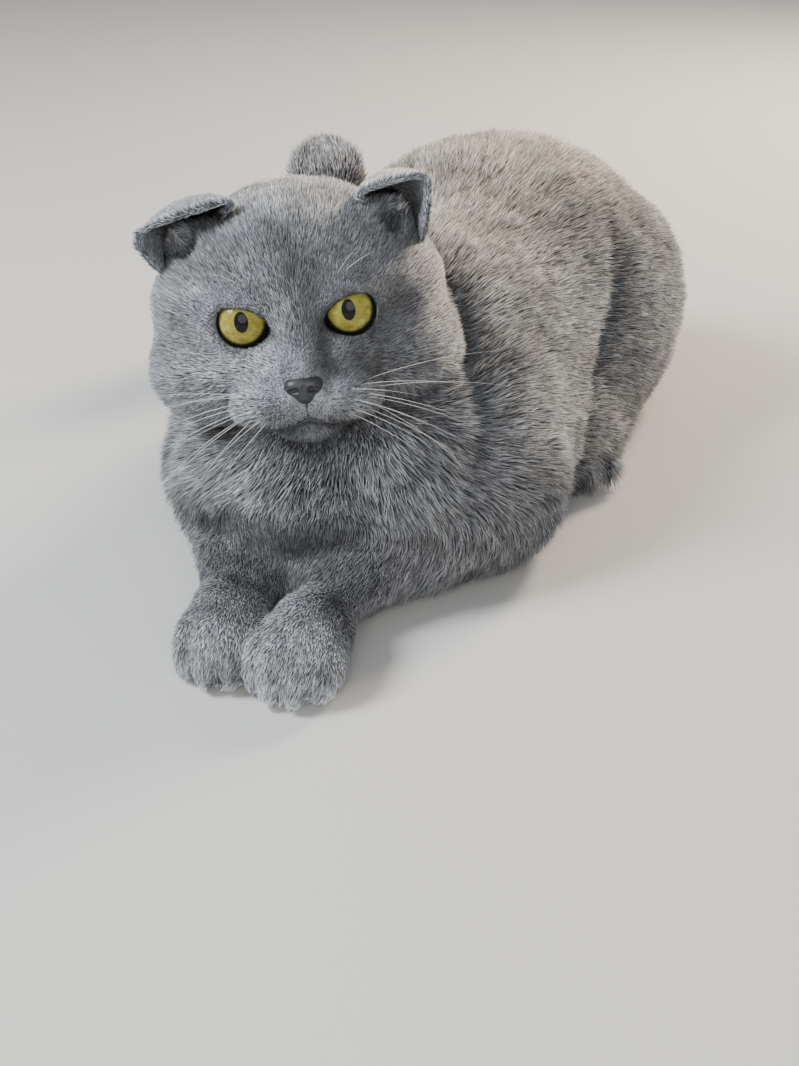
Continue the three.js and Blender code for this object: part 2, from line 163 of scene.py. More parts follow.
class CatCoatSettings(bpy.types.PropertyGroup):
    tufts: IntProperty(
        name="Tufts", description="Number of tufts on the whole cat", default=355000
    )
    piece_tufts: IntProperty(
        name="Tufts in a piece", description="Most tufts that one coat piece holds", default=46000
    )
    body_hair: FloatProperty(
        name="Body hair", description="Length on the back and sides, in millimetres", default=8.6
    )
    ruff_hair: FloatProperty(
        name="Ruff hair", description="Length on the chest, in millimetres", default=10.0
    )
    cheek_hair: FloatProperty(
        name="Cheek hair", description="Length on the cheeks, in millimetres", default=7.0
    )
    face_hair: FloatProperty(
        name="Face hair", description="Length on the front of the face, in millimetres", default=3.8
    )
    paw_hair: FloatProperty(
        name="Paw hair", description="Length on the paws, in millimetres", default=4.2
    )
    seed: IntProperty(name="Seed", description="Seed of the coat's randomness", default=7)


class CatColourSettings(bpy.types.PropertyGroup):
    root: FloatVectorProperty(
        name="Hair root",
        description="Colour near the skin",
        subtype="COLOR",
        default=(0.060, 0.065, 0.074),
    )
    middle: FloatVectorProperty(
        name="Hair middle",
        description="Blue grey of the coat",
        subtype="COLOR",
        default=(0.205, 0.217, 0.238),
    )
    tip: FloatVectorProperty(
        name="Hair tip",
        description="Silver of the hair's ends",
        subtype="COLOR",
        default=(0.56, 0.575, 0.60),
    )
    # Tint of the painted warm light from behind on the back and tail
    warmth: FloatVectorProperty(
        name="Warmth",
        description="Brown tinge on the back and tail",
        subtype="COLOR",
        default=(1.0, 0.92, 0.84),
    )
    iris: FloatVectorProperty(
        name="Iris", description="Yellow green of the eye", subtype="COLOR", default=(0.36, 0.315, 0.055)
    )
    leather: FloatVectorProperty(
        name="Nose leather",
        description="Slate of the nose",
        subtype="COLOR",
        default=(0.022, 0.023, 0.027),
    )


class CatStageSettings(bpy.types.PropertyGroup):
    floor_size: FloatProperty(
        name="Floor size", description="Edge of the floor", default=6.0, subtype="DISTANCE", unit="LENGTH"
    )
    key_power: FloatProperty(
        name="Key light", description="Power of the soft light", default=34.0, subtype="POWER"
    )
    rim_power: FloatProperty(
        name="Rim light", description="Power of the warm light from behind", default=24.0, subtype="POWER"
    )


# Geometry of the head
def head_matrix():
    level = math.cos(HEAD_LIFT)
    forward = Vector(
        (math.sin(HEAD_TURN) * level, -math.cos(HEAD_TURN) * level, math.sin(HEAD_LIFT))
    )
    left_level = Vector((math.cos(HEAD_TURN), math.sin(HEAD_TURN), 0))
    up_level = forward.cross(left_level)
    left = left_level * math.cos(HEAD_TILT) + up_level * math.sin(HEAD_TILT)
    up = forward.cross(left)
    turn = Matrix((left, -forward, up)).transposed().to_4x4()
    return Matrix.Translation(HEAD_CENTRE) @ turn


HEAD = head_matrix()
HEAD_TURN_ARRAY = np.array(HEAD.to_3x3(), np.float32)
HEAD_CENTRE_ARRAY = np.array(HEAD_CENTRE, np.float32)


def to_head(p):
    return (p - HEAD_CENTRE_ARRAY) @ HEAD_TURN_ARRAY


def from_head(q):
    return np.asarray(q, np.float32) @ HEAD_TURN_ARRAY.T + HEAD_CENTRE_ARRAY


def smooth(low, high, value):
    t = np.clip((value - low) / (high - low), 0, 1)
    return t * t * (3 - 2 * t)


def unit(v):
    return v / np.maximum(np.linalg.norm(v, axis=-1, keepdims=True), 1e-6)


# Fields: about how far a point is outside a form, in millimetres, with the box that holds the form
def ellipsoid(centre, half):
    centre = np.array(centre, np.float32)
    half = np.array(half, np.float32)

    def distance(p):
        q = (p - centre) / half
        reach = np.linalg.norm(q, axis=-1)
        slope = np.linalg.norm(q / half, axis=-1)
        return reach * (reach - 1) / np.maximum(slope, 1e-6)

    return distance, centre - half, centre + half


def rod(start, end, start_radius, end_radius):
    start = np.array(start, np.float32)
    end = np.array(end, np.float32)
    line = end - start

    def distance(p):
        t = np.clip((p - start) @ line / (line @ line), 0, 1)
        nearest = start + t[..., None] * line
        return np.linalg.norm(p - nearest, axis=-1) - (start_radius + (end_radius - start_radius) * t)

    big = max(start_radius, end_radius)
    return distance, np.minimum(start, end) - big, np.maximum(start, end) + big


def blend_two(a, b, width):
    h = np.maximum(width - np.abs(a - b), 0) / width
    return np.minimum(a, b) - h * h * width / 4


def blend_all(forms, p, width):
    value = forms[0][0](p)
    for form in forms[1:]:
        value = blend_two(value, form[0](p), width)
    return value


def box_corners(low, high):
    return np.array([[(low, high)[i >> k & 1][k] for k in range(3)] for i in range(8)])


class Grid:
    """A block of points in millimetres that forms are blended into, each only near itself."""

    FAR = 40.0

    def __init__(self, low, high, step):
        self.low = np.array(low, np.float32)
        self.step = step
        self.shape = tuple(int(math.ceil((h - l) / step)) + 1 for l, h in zip(low, high))
        self.axes = [
            (self.low[i] + step * np.arange(self.shape[i])).astype(np.float32) for i in range(3)
        ]

    def empty(self):
        return np.full(self.shape, self.FAR, np.float32)

    def points(self, block=(slice(None),) * 3):
        mesh = np.meshgrid(*[self.axes[i][block[i]] for i in range(3)], indexing="ij")
        return np.stack(mesh, -1)

    def block(self, low, high, margin):
        cells = []
        for i in range(3):
            a = int((low[i] - margin - self.low[i]) / self.step)
            b = int((high[i] + margin - self.low[i]) / self.step) + 2
            cells.append(slice(max(a, 0), min(max(b, 0), self.shape[i])))
        return tuple(cells)

    def add(self, field, forms, width, in_head=False, margin=20):
        for distance, low, high in forms:
            if in_head:
                corners = from_head(box_corners(low, high))
                low, high = corners.min(0), corners.max(0)
            block = self.block(low, high, margin)
            p = self.points(block)
            value = distance(to_head(p) if in_head else p)
            field[block] = blend_two(field[block], value, width)
        return field

    def carve(self, field, forms):
        """Cuts forms of the head's frame out of the field."""
        for distance, low, high in forms:
            corners = from_head(box_corners(low, high))
            block = self.block(corners.min(0), corners.max(0), 3)
            value = distance(to_head(self.points(block)))
            field[block] = np.maximum(field[block], -value)
        return field

    def surface(self, field):
        grid = openvdb.FloatGrid(self.FAR)
        grid.copyFromArray(field)
        points, quads = grid.convertToQuads(0.0)
        return points * self.step + self.low, quads


# Lines across each side of the body: how far along it they run at a height
def collar_line(z):
    return -72 + 0.85 * (z - 112) - 6 * np.sin((z - 40) / 26)


def haunch_line(z):
    return 45 + 0.72 * (z - 122) + 7 * np.sin((z - 50) / 22)


def head_forms():
    forms = [
        ellipsoid((0, 10, 6), SKULL_HALF),
        rod((0, -23, 10), (0, -40.5, -19), 11, 8.5),
        ellipsoid((0, -31, -41), (13.5, 12, 8.5)),
    ]
    for _, side in SIDES:
        forms.append(ellipsoid((side * 32, 3, 3), (27, 31, 25)))
        forms.append(ellipsoid((side * CHEEK_SPREAD, 0, -21), (28.5, 31, 25)))
        forms.append(ellipsoid((side * 22, -18.5, 0.5), (17, 16.5, 15.5)))
        forms.append(ellipsoid((side * 17, -25, -15), (13, 12.5, 12)))
        forms.append(ellipsoid((side * 13, -34, MUZZLE_Z), (15.5, 12.5, 10)))
        forms.append(ellipsoid((side * 37, 2, 27), (13, 15, 13)))
    return forms


def body_forms():
    forms = [
        ellipsoid((2, -38, 58), (BODY_HALF_WIDTH - 2, 112, 71)),
        ellipsoid((2, RUMP_Y, BACK_HEIGHT - RUMP_RISE), (BODY_HALF_WIDTH, RUMP_HALF_LENGTH, RUMP_RISE)),
        ellipsoid((2, -4, 26), (BODY_HALF_WIDTH + 3, 136, 48)),
        ellipsoid(CHEST_CENTRE, CHEST_HALF),
    ]
    for _, side in SIDES:
        forms.append(ellipsoid((2 + side * 56, 80, 52), (31, 72, 54)))
        forms.append(ellipsoid((2 + side * 54, -84, 44), (31, 46, 46)))
    return forms


def paw_forms(start, tip, sizes):
    start = Vector(start)
    tip = Vector(tip)
    forward = Vector((tip.x - start.x, tip.y - start.y, 0)).normalized()
    left = Vector((0, 0, 1)).cross(forward)
    turn = np.array(Matrix((left, -forward, Vector((0, 0, 1)))).transposed(), np.float32)
    origin = np.array((tip.x, tip.y, 0), np.float32)
    shapes = [ellipsoid((0, sizes["half"][1] + 6, 13), sizes["half"])]
    for x in TOE_SPREAD:
        toe_y = sizes["toe_forward"] + 3 + 0.045 * x * x
        shapes.append(ellipsoid((x, toe_y, 10), sizes["toe_half"]))

    def distance(p):
        q = (p - origin) @ turn
        toes = shapes[1][0](q)
        for toe in shapes[2:]:
            toes = blend_two(toes, toe[0](q), 2.5)
        return blend_two(shapes[0][0](q), toes, 7)

    reach = 2 * sizes["half"][1] + 14
    middle = origin - np.array(forward) * reach / 2
    return distance, middle - reach / 2 - 10, middle + reach / 2 + 10


def limb_forms():
    groups = {}
    for name, leg in FRONT_LEGS.items():
        groups["front_" + name] = [
            rod(leg["elbow"], leg["wrist"], 20, 17.5),
            paw_forms(leg["wrist"], leg["tip"], FRONT_PAW),
        ]
    for name, foot in HIND_FEET.items():
        groups["hind_" + name] = [paw_forms(foot["heel"], foot["tip"], HIND_PAW)]
    return groups


def smooth_path(points, count):
    """Points evenly along a centripetal Catmull-Rom curve through the given ones."""
    points = [Vector(p) for p in points]
    ends = [points[0] * 2 - points[1], *points, points[-1] * 2 - points[-2]]
    fine = []
    for i in range(len(points) - 1):
        a, b, c, d = ends[i : i + 4]
        t1 = (b - a).length ** 0.5
        t2 = t1 + (c - b).length ** 0.5
        t3 = t2 + (d - c).length ** 0.5
        for k in range(24):
            t = t1 + (t2 - t1) * k / 24
            a1 = a.lerp(b, t / t1)
            a2 = b.lerp(c, (t - t1) / (t2 - t1))
            a3 = c.lerp(d, (t - t2) / (t3 - t2))
            b1 = a1.lerp(a2, t / t2)
            b2 = a2.lerp(a3, (t - t1) / (t3 - t1))
            fine.append(b1.lerp(b2, (t - t1) / (t2 - t1)))
    fine.append(points[-1])
    fine = np.array(fine)
    along = np.concatenate([[0], np.cumsum(np.linalg.norm(np.diff(fine, axis=0), axis=1))])
    even = np.linspace(0, along[-1], count)
    return np.stack([np.interp(even, along, fine[:, i]) for i in range(3)], 1)


TAIL_PATH = smooth_path(TAIL_POINTS, 41)


def tail_forms():
    count = len(TAIL_PATH) - 1
    length = np.linalg.norm(np.diff(TAIL_PATH, axis=0), axis=1).sum()
    last = int(count * (1 - TAIL_RADIUS / length))
    radius = [TAIL_RADIUS + 5 * (1 - i / count) ** 2 for i in range(count + 1)]
    return [rod(TAIL_PATH[i], TAIL_PATH[i + 1], radius[i], radius[i + 1]) for i in range(last)]


# How long the hair is and which way it lies, for points in millimetres
def hair_length(p, coat):
    q = to_head(p)
    far = np.linalg.norm(q * np.array((0.9, 1, 1), np.float32), axis=-1)
    on_head = 1 - smooth(48, 78, far)
    on_face = (1 - smooth(-28, 26, q[..., 1])) * on_head
    chest = 1 - smooth(-150, -70, p[..., 1])
    length = coat.body_hair + (coat.ruff_hair - coat.body_hair) * chest
    length = length + (coat.cheek_hair - length) * on_head
    length = length + (coat.face_hair - length) * on_face
    for _, side in SIDES:
        eye = np.linalg.norm(q - np.array((side * EYE_SPREAD, -EYE_DEPTH, 0), np.float32), axis=-1)
        length = length + (1.5 - length) * (1 - smooth(EYE_RADIUS, EYE_RADIUS + 12, eye))
    nose = np.linalg.norm(q - np.array((0, -48, NOSE_Z), np.float32), axis=-1)
    length = length + (1.3 - length) * (1 - smooth(9, 30, nose))
    for leg in FRONT_LEGS.values():
        elbow, wrist, tip = (np.array(leg[name], np.float32) for name in ("elbow", "wrist", "tip"))
        near = 1 - smooth(22, 34, rod(elbow, wrist, 0, 0)[0](p))
        near = np.maximum(near, 1 - smooth(26, 38, rod(wrist, tip, 0, 0)[0](p)))
        along = (p - elbow) @ (wrist - elbow) / ((wrist - elbow) @ (wrist - elbow))
        length = length + (coat.paw_hair - length) * smooth(0.45, 1.1, along) * near
    return length


def hair_lift(p, length):
    """The angle between hair and skin: plush on the body, flatter on the face and feet."""
    far = np.linalg.norm(to_head(p), axis=-1)
    lift = np.radians(23 + 12 * smooth(50, 75, far))
    return np.where(length < 5.5, np.radians(22), lift)


def lie_of_coat(p, n, regions):
    """The way the hair grows along the skin, before it is lifted off it."""
    q = to_head(p)
    side = (p[:, 0:1] - 2) / BODY_HALF_WIDTH
    front = 1 - smooth(-165, -95, p[:, 1:2])
    body = np.concatenate([0.25 * side + 0.3 * front * side, 1 - 1.1 * front, -0.42 - 0.8 * front], 1)
    head_local = np.concatenate([q[:, 0:1] * 1.1, q[:, 1:2] + 62, q[:, 2:3] - NOSE_Z + 2], 1)
    head = unit(head_local) @ HEAD_TURN_ARRAY.T
    ways = {"body": unit(body), "head": head, "ear": head}
    for name, leg in FRONT_LEGS.items():
        upper = unit(np.subtract(leg["wrist"], leg["elbow"]).astype(np.float32))
        lower = unit(np.subtract(leg["tip"], leg["wrist"]).astype(np.float32))
        along = (p - np.array(leg["wrist"], np.float32)) @ lower
        t = smooth(-20, 20, along)[:, None]
        down = np.array((0, 0, -0.6), np.float32) * smooth(35, 75, along)[:, None]
        ways["front_" + name] = unit((upper + (0, 0, -0.3)) * (1 - t) + lower * t + down)
    for name, foot in HIND_FEET.items():
        way = unit(np.subtract(foot["tip"], foot["heel"]).astype(np.float32))
        heel = smooth(-30, 30, p[:, 1:2])
        ways["hind_" + name] = unit(way * (1 - 1.6 * heel) + (0, 0, -0.8))
    steps = np.gradient(TAIL_PATH, axis=0)
    nearest = np.argmin(((p[:, None] - TAIL_PATH[None]) ** 2).sum(-1), 1)
    ways["tail"] = unit(steps[nearest])
    lie = np.zeros_like(p)
    for name, weight in regions.items():
        lie = lie + weight[:, None] * ways[name]
    lie = lie - (lie * n).sum(1, keepdims=True) * n
    return unit(lie)


def under_jaw(q):
    """How much a point of the head's frame is under the jaw, from 0 to 1."""
    return (1 - smooth(-42, -8, q[..., 2])) * (1 - smooth(20, 50, q[..., 1]))


def region_weights(p):
    """How much each point belongs to each region, and how much painted shade it takes under the jaw, by how
    near it lies where the head meets the body.
    """
    q = to_head(p)
    fields = {"head": blend_all(head_forms(), q, FACE_BLEND), "body": blend_all(body_forms(), p, 10)}
    for name, forms in limb_forms().items():
        fields[name] = blend_all(forms, p, 5)
    fields["tail"] = blend_all(tail_forms(), p, 3)
    lowest = np.min(np.stack(list(fields.values())), 0)
    weights = {name: np.exp(-np.minimum((f - lowest) / 4, 30)) for name, f in fields.items()}
    total = sum(weights.values())
    jaw_shade = np.exp(-(((fields["head"] - 2) / 9) ** 2)) * under_jaw(q) * weights["body"] / total
    return {name: w / total for name, w in weights.items()}, jaw_shade


def on_face(x, z, sink=0.0):
    """Where the coat's surface lies on the face at a place seen from the front, in the head's frame."""
    y = np.linspace(-75, 20, 1900, dtype=np.float32)
    q = np.stack([np.full_like(y, x), y, np.full_like(y, z)], 1)
    value = blend_all(head_forms(), q, FACE_BLEND)
    return np.array((x, y[np.argmax(value < 0)] + sink, z))


# Ears: a cupped sheet over an arc on the head, bent over to its tip
def bezier(a, b, c, t):
    a, b, c = (np.asarray(v, float) for v in (a, b, c))
    t = t[..., None]
    return (1 - t) ** 2 * a + 2 * t * (1 - t) * b + t**2 * c


def ear_sheet(name, side, across, along):
    ear = EARS[name]
    base = bezier(ear["inner"], EAR_BEHIND, EAR_OUTER, across)
    rise = 3 + ear["hood"] * np.sin(np.pi * across)
    way = np.array((0, -0.3, 1)) * (1 - across[..., None]) + np.array((1, -0.3, 0.4)) * across[..., None]
    bend = base + way * rise[..., None]
    tip = np.broadcast_to(np.array(ear["tip"], float), base.shape)
    t = along[..., None]
    p = (1 - t) ** 2 * base + 2 * t * (1 - t) * bend + t**2 * tip
    blunt = (0.5 - across) * 5 * along
    p = p + np.stack([-0.3 * blunt, -0.3 * blunt, blunt], -1)
    return p * np.array((side, 1, 1))


def ear_mesh(name, side, thickness=2.0, across_count=26, along_count=20):
    """Both faces of an ear and its rim, as points in millimetres and quads."""
    u, v = np.meshgrid(
        np.linspace(0, 1, across_count), np.linspace(-0.22, 1, along_count), indexing="ij"
    )
    middle = ear_sheet(name, side, u, v)
    du = np.gradient(middle, axis=0)
    dv = np.gradient(middle, axis=1)
    normal = unit(np.cross(du, dv)) * side
    rim = 1 - 0.6 * np.abs(2 * u - 1) ** 8 - 0.45 * np.clip(v, 0, 1) ** 6
    half = normal * (thickness / 2 * rim)[..., None]
    outer = (middle + half).reshape(-1, 3)
    inner = (middle - half).reshape(-1, 3)
    index = np.arange(across_count * along_count).reshape(across_count, along_count)
    a, b, c, d = (w.ravel() for w in (index[:-1, :-1], index[1:, :-1], index[1:, 1:], index[:-1, 1:]))
    front = np.stack([a, b, c, d], 1)
    count = across_count * along_count
    quads = [front, front[:, ::-1] + count]
    ring = np.concatenate([index[:, 0], index[-1, 1:], index[-2::-1, -1], index[0, -2:0:-1]])
    after = np.roll(ring, -1)
    quads.append(np.stack([after, ring, ring + count, after + count], 1))
    quads = np.concatenate(quads)
    if side < 0:
        quads = quads[:, ::-1]
    return from_head(np.concatenate([outer, inner])), quads


# Skin
def trunk_and_head(grid, p, settings):
    """The trunk with its creases, and the head set into it."""
    body = grid.add(grid.empty(), body_forms(), BODY_BLEND)
    body = blend_two(body, grid.add(grid.empty(), [ellipsoid(BIB_CENTRE, BIB_HALF)], 1.0), 12)
    collar = p[..., 1] - collar_line(p[..., 2])
    body += settings.collar_crease * np.exp(-((collar / 8) ** 2)) * smooth(25, 60, p[..., 2])
    body -= 0.2 * settings.collar_crease * np.exp(-(((collar + 14) / 11) ** 2))
    haunch = (p[..., 1] - haunch_line(p[..., 2])) / 10
    body += settings.thigh_crease * np.exp(-(haunch**2)) * (1 - smooth(85, 125, p[..., 2]))
    q = to_head(p)
    head = grid.add(grid.empty(), head_forms(), FACE_BLEND, in_head=True)
    jaw = under_jaw(q)
    jaw *= 1 - 0.75 * smooth(30, 55, np.abs(q[..., 0]))
    body += settings.jaw_crease * np.exp(-((np.maximum(head, 0) / 9) ** 2)) * jaw
    return blend_two(body, head, NECK_BLEND / 2)


def add_limbs(grid, field, p):
    """Legs, paws, the fur between the wrists, and the tail."""
    for name, forms in limb_forms().items():
        limb = grid.add(grid.empty(), forms, 14)
        limb += 3.0 * smooth(-150, -110, p[..., 1])
        width = LEG_BLEND + 26 * smooth(-172, -130, p[..., 1]) if name.startswith("front") else 16
        field = blend_two(field, limb, width)
    gap = grid.add(grid.empty(), [ellipsoid(WRIST_GAP_CENTRE, WRIST_GAP_HALF)], 1.0)
    field = blend_two(field, gap, 12)
    tail = grid.add(grid.empty(), tail_forms(), 1.0)
    return blend_two(field, tail, LEG_BLEND)


def add_lids_and_pads(grid, field):
    """The lids' swelling and the whisker pads, then the eyes' openings and the ears' cups cut out."""
    cups = []
    sockets = []
    for _, side in SIDES:
        place = (side * EYE_SPREAD, -EYE_DEPTH, 0)
        lids = grid.add(grid.empty(), [ellipsoid(place, (EYE_RADIUS + 1.1,) * 3)], 1.0, in_head=True)
        field = blend_two(field, lids, 5)
        form = ellipsoid((side * 13.5, -34.6, MUZZLE_Z - 0.5), (15, 12.5, 9))
        field = blend_two(field, grid.add(grid.empty(), [form], 1.0, in_head=True), 3)
        centre = np.array(EAR_CUP_CENTRE) * (side, 1, 1)
        cups.append(ellipsoid(centre, EAR_CUP_HALF))
        sockets.append(ellipsoid(place, (EYE_RADIUS - 0.6,) * 3))
        sockets.append(eye_opening(side))
    return grid.carve(field, cups + sockets)


def build_skin(settings, coat):
    grid = Grid(SKIN_LOW, SKIN_HIGH, settings.voxel)
    p = grid.points()
    length = hair_length(p, coat)
    rise = settings.inset * length * np.sin(hair_lift(p, length))
    field = add_limbs(grid, trunk_and_head(grid, p, settings), p)
    field += rise
    field = np.maximum(field, SKIN_CLEARANCE - p[..., 2])
    return grid.surface(add_lids_and_pads(grid, field))


def in_eye(q, side):
    """Where points stand in an eye's opening: across it, up it, and their reach with 1 at the rim."""
    x = q[..., 0] - side * EYE_SPREAD
    z = q[..., 2]
    slant = side * EYE_SLANT
    wide = x * math.cos(slant) + z * math.sin(slant)
    high = z * math.cos(slant) - x * math.sin(slant)
    inner = np.maximum(-side * wide, 0) / np.maximum(np.hypot(wide, high), 1e-3)
    half_wide = LID_HALF_WIDE * (1 + CORNER_REACH * inner**6)
    half_high = np.where(high > 0, LID_UPPER, LID_LOWER)
    return wide, high, np.hypot(wide / half_wide, high / half_high)


def eye_opening(side):
    centre = np.array((side * EYE_SPREAD, -EYE_DEPTH - 14, 0), np.float32)
    half = np.array((LID_HALF_WIDE + 4, 14, LID_LOWER + 5), np.float32)

    def distance(q):
        _, _, reach = in_eye(q, side)
        return np.maximum((reach - 1) * LID_UPPER, q[..., 1] + EYE_DEPTH)

    return distance, centre - half, centre + half


def mesh_from(name, points, faces):
    mesh = bpy.data.meshes.new(name)
    mesh.vertices.add(len(points))
    mesh.vertices.foreach_set("co", np.asarray(points, np.float32).ravel() * MM)
    size = faces.shape[1]
    mesh.loops.add(faces.size)
    mesh.loops.foreach_set("vertex_index", faces.astype(np.int32).ravel())
    mesh.polygons.add(len(faces))
    mesh.polygons.foreach_set("loop_start", np.arange(0, faces.size, size, dtype=np.int32))
    mesh.update(calc_edges=True)
    mesh.validate()
    mesh.polygons.foreach_set("use_smooth", np.ones(len(mesh.polygons), bool))
    mesh.update()
    return mesh


def link(name, mesh):
    piece = bpy.data.objects.new(name, mesh)
    bpy.context.scene.collection.objects.link(piece)
    return piece


def read(mesh, what, attribute, size, kind=np.float32):
    values = np.zeros(len(getattr(mesh, what)) * size, kind)
    getattr(mesh, what).foreach_get(attribute, values)
    return values.reshape(-1, size) if size > 1 else values


def store(mesh, name, kind, domain, values):
    layer = mesh.attributes.new(name, kind, domain)
    key = "vector" if kind in ("FLOAT_VECTOR", "FLOAT2") else "value"
    layer.data.foreach_set(key, np.ascontiguousarray(values, np.float32).ravel())


def unwrap(mesh, region_of_face):
    """Each region's faces go on six sheets by the way they face, each in its own cell of the map."""
    co = read(mesh, "vertices", "co", 3)
    normal = read(mesh, "polygons", "normal", 3)
    loop_vertex = read(mesh, "loops", "vertex_index", 1, np.int32)
    loop_total = read(mesh, "polygons", "loop_total", 1, np.int32)
    axis = np.argmax(np.abs(normal), 1)
    facing = axis * 2 + (normal[np.arange(len(axis)), axis] > 0)
    face = np.repeat(np.arange(len(axis)), loop_total)
    corner = co[loop_vertex]
    loop_axis = axis[face]
    u = np.where(loop_axis == 0, corner[:, 1], corner[:, 0])
    v = np.where(loop_axis == 2, corner[:, 1], corner[:, 2])
    columns = 6
    rows = int(region_of_face.max()) + 1
    uv = np.zeros((len(face), 2), np.float32)
    for row in range(rows):
        for column in range(columns):
            here = (region_of_face[face] == row) & (facing[face] == column)
            if not here.any():
                continue
            span = max(np.ptp(u[here]), np.ptp(v[here]), 1e-4)
            uv[here, 0] = (column + 0.03 + 0.94 * (u[here] - u[here].min()) / span) / columns
            uv[here, 1] = (row + 0.03 + 0.94 * (v[here] - v[here].min()) / span) / rows
    mesh.uv_layers.new(name="OFBake").data.foreach_set("uv", uv.ravel())


# Light and dark on the face, the same on both sides, the coat's pattern with painted shade in the ear cups
# and under the whisker pads: strength, centre and half size
FACE_MARKS_AND_SHADE = (
    (-0.34, (0, -36, 14), (9, 22, 18)),
    (-0.16, (16, -30, 30), (18, 24, 12)),
    (-0.10, (22, -34, 13), (12, 14, 5)),
    (0.85, (15, -44, MUZZLE_Z - 1), (14, 12, 7)),
    (0.18, (0, -42, MUZZLE_Z - 15), (12, 12, 5)),
    (0.22, (0, -46, -13), (4.5, 12, 8)),
    (0.26, (13, -38, -14), (8, 12, 6)),
    (-0.16, (9, -38, -5), (3.5, 10, 7)),
    # Painted shade under the whisker pads, along the mouth
    (-0.30, (9, -36, MOUTH_Z - 1.5), (12, 12, 2.2)),
    (0.14, (32, -28, -14), (10, 16, 6)),
    (-0.18, (41, -22, -24), (12, 18, 5)),
    # Painted shade in the ear cups
    (-0.14, EAR_CUP_CENTRE, (12, 16, 12)),
)


def markings_and_painted_light(p, q, regions):
    """How light the coat is, from dark at 0 to light at 1, with 0.5 for its plain grey: its pattern, with
    painted light on the top of the head and painted shade in the ear cups, under the whisker pads, in the
    creases by the collar and thigh, on the haunch and towards the floor.
    """
    tone = np.full(len(p), 0.5, np.float32)
    head = regions["head"] + regions["ear"]

    for strength, centre, size in FACE_MARKS_AND_SHADE:
        d = np.stack([np.abs(q[:, 0]), q[:, 1], q[:, 2]], 1) - np.array(centre, np.float32)
        tone += strength * (np.exp(-((d / np.array(size, np.float32)) ** 2).sum(1)) * head)
    tone += 0.12 * smooth(40, 60, np.abs(q[:, 0])) * head
    # Painted light: the top of the head lighter
    tone += 0.40 * smooth(26, 46, q[:, 2]) * head
    chest = (1 - smooth(-150, -100, p[:, 1])) * regions["body"]
    tone += 0.06 * chest
    beside = smooth(36, 60, np.abs(p[:, 0] - 2)) * regions["body"]
    # Painted shade: darker in the crease before the thigh and on the haunch behind it
    behind = p[:, 1] - haunch_line(p[:, 2])
    tone -= 0.14 * np.exp(-(((behind - 5) / 11) ** 2)) * beside
    tone -= 0.16 * smooth(-5, 25, behind) * beside
    collar = p[:, 1] - collar_line(p[:, 2])
    # Painted shade in the crease behind the ruff, with a lighter band just ahead of it
    tone -= 0.12 * np.exp(-(((collar - 3) / 6) ** 2)) * regions["body"]
    tone += 0.12 * np.exp(-(((collar + 9) / 7) ** 2)) * beside
    # Painted shade: the lower body darker towards the floor
    under = 1 - smooth(8, 44, p[:, 2])
    tone -= 0.10 * under * regions["body"]
    for name in FRONT_LEGS:
        tip = np.array(FRONT_LEGS[name]["tip"], np.float32)
        toe = 1 - smooth(16, 44, np.linalg.norm(p - tip, axis=1))
        tone += (0.9 * toe - 0.18) * regions["front_" + name]
    lips = np.array([lip_place(i / 8) for i in range(-8, 9)])
    reach = np.min(np.hypot(q[:, 0:1] - lips[:, 0], q[:, 2:3] - lips[:, 1]), 1)
    tone -= 0.7 * np.exp(-((reach / 1.7) ** 2)) * head * (q[:, 1] < -20)
    return np.clip(tone, 0, 1.7)


REGION_ROWS = ("body", "head", "ear", "front_left", "front_right", "hind_left", "hind_right", "tail")


def skin_and_ears(settings, coat):
    """All points and quads of the skin and both ears, and how many of the points are the skin's."""
    sheets = [build_skin(settings, coat)]
    for name, side in SIDES:
        sheets.append(ear_mesh(name, side))
    offset = 0
    all_points = []
    all_quads = []
    for sheet_points, sheet_quads in sheets:
        all_points.append(sheet_points)
        all_quads.append(sheet_quads + offset)
        offset += len(sheet_points)
    points = np.concatenate(all_points).astype(np.float32)
    return points, np.concatenate(all_quads), len(all_points[0])


def share_out(mesh, first, row, density, centre, coat):
    """Gives each face its coat piece, so that the pieces hold about as many tufts each."""
    area = read(mesh, "polygons", "area", 1)
    expected = area * density[first]
    expected *= coat.tufts / expected.sum()
    order = np.lexsort((centre[:, 1], row))
    pieces = max(int(math.ceil(coat.tufts / coat.piece_tufts)), 1)
    share = np.cumsum(expected[order]) / expected.sum()
    piece = np.zeros(len(order), np.float32)
    piece[order] = np.minimum(np.floor(share * pieces), pieces - 1)
    store(mesh, "coat_piece", "FLOAT", "FACE", piece)
    mesh["tuft_density"] = float(coat.tufts / (area * density[first]).sum())
    mesh["pieces"] = pieces


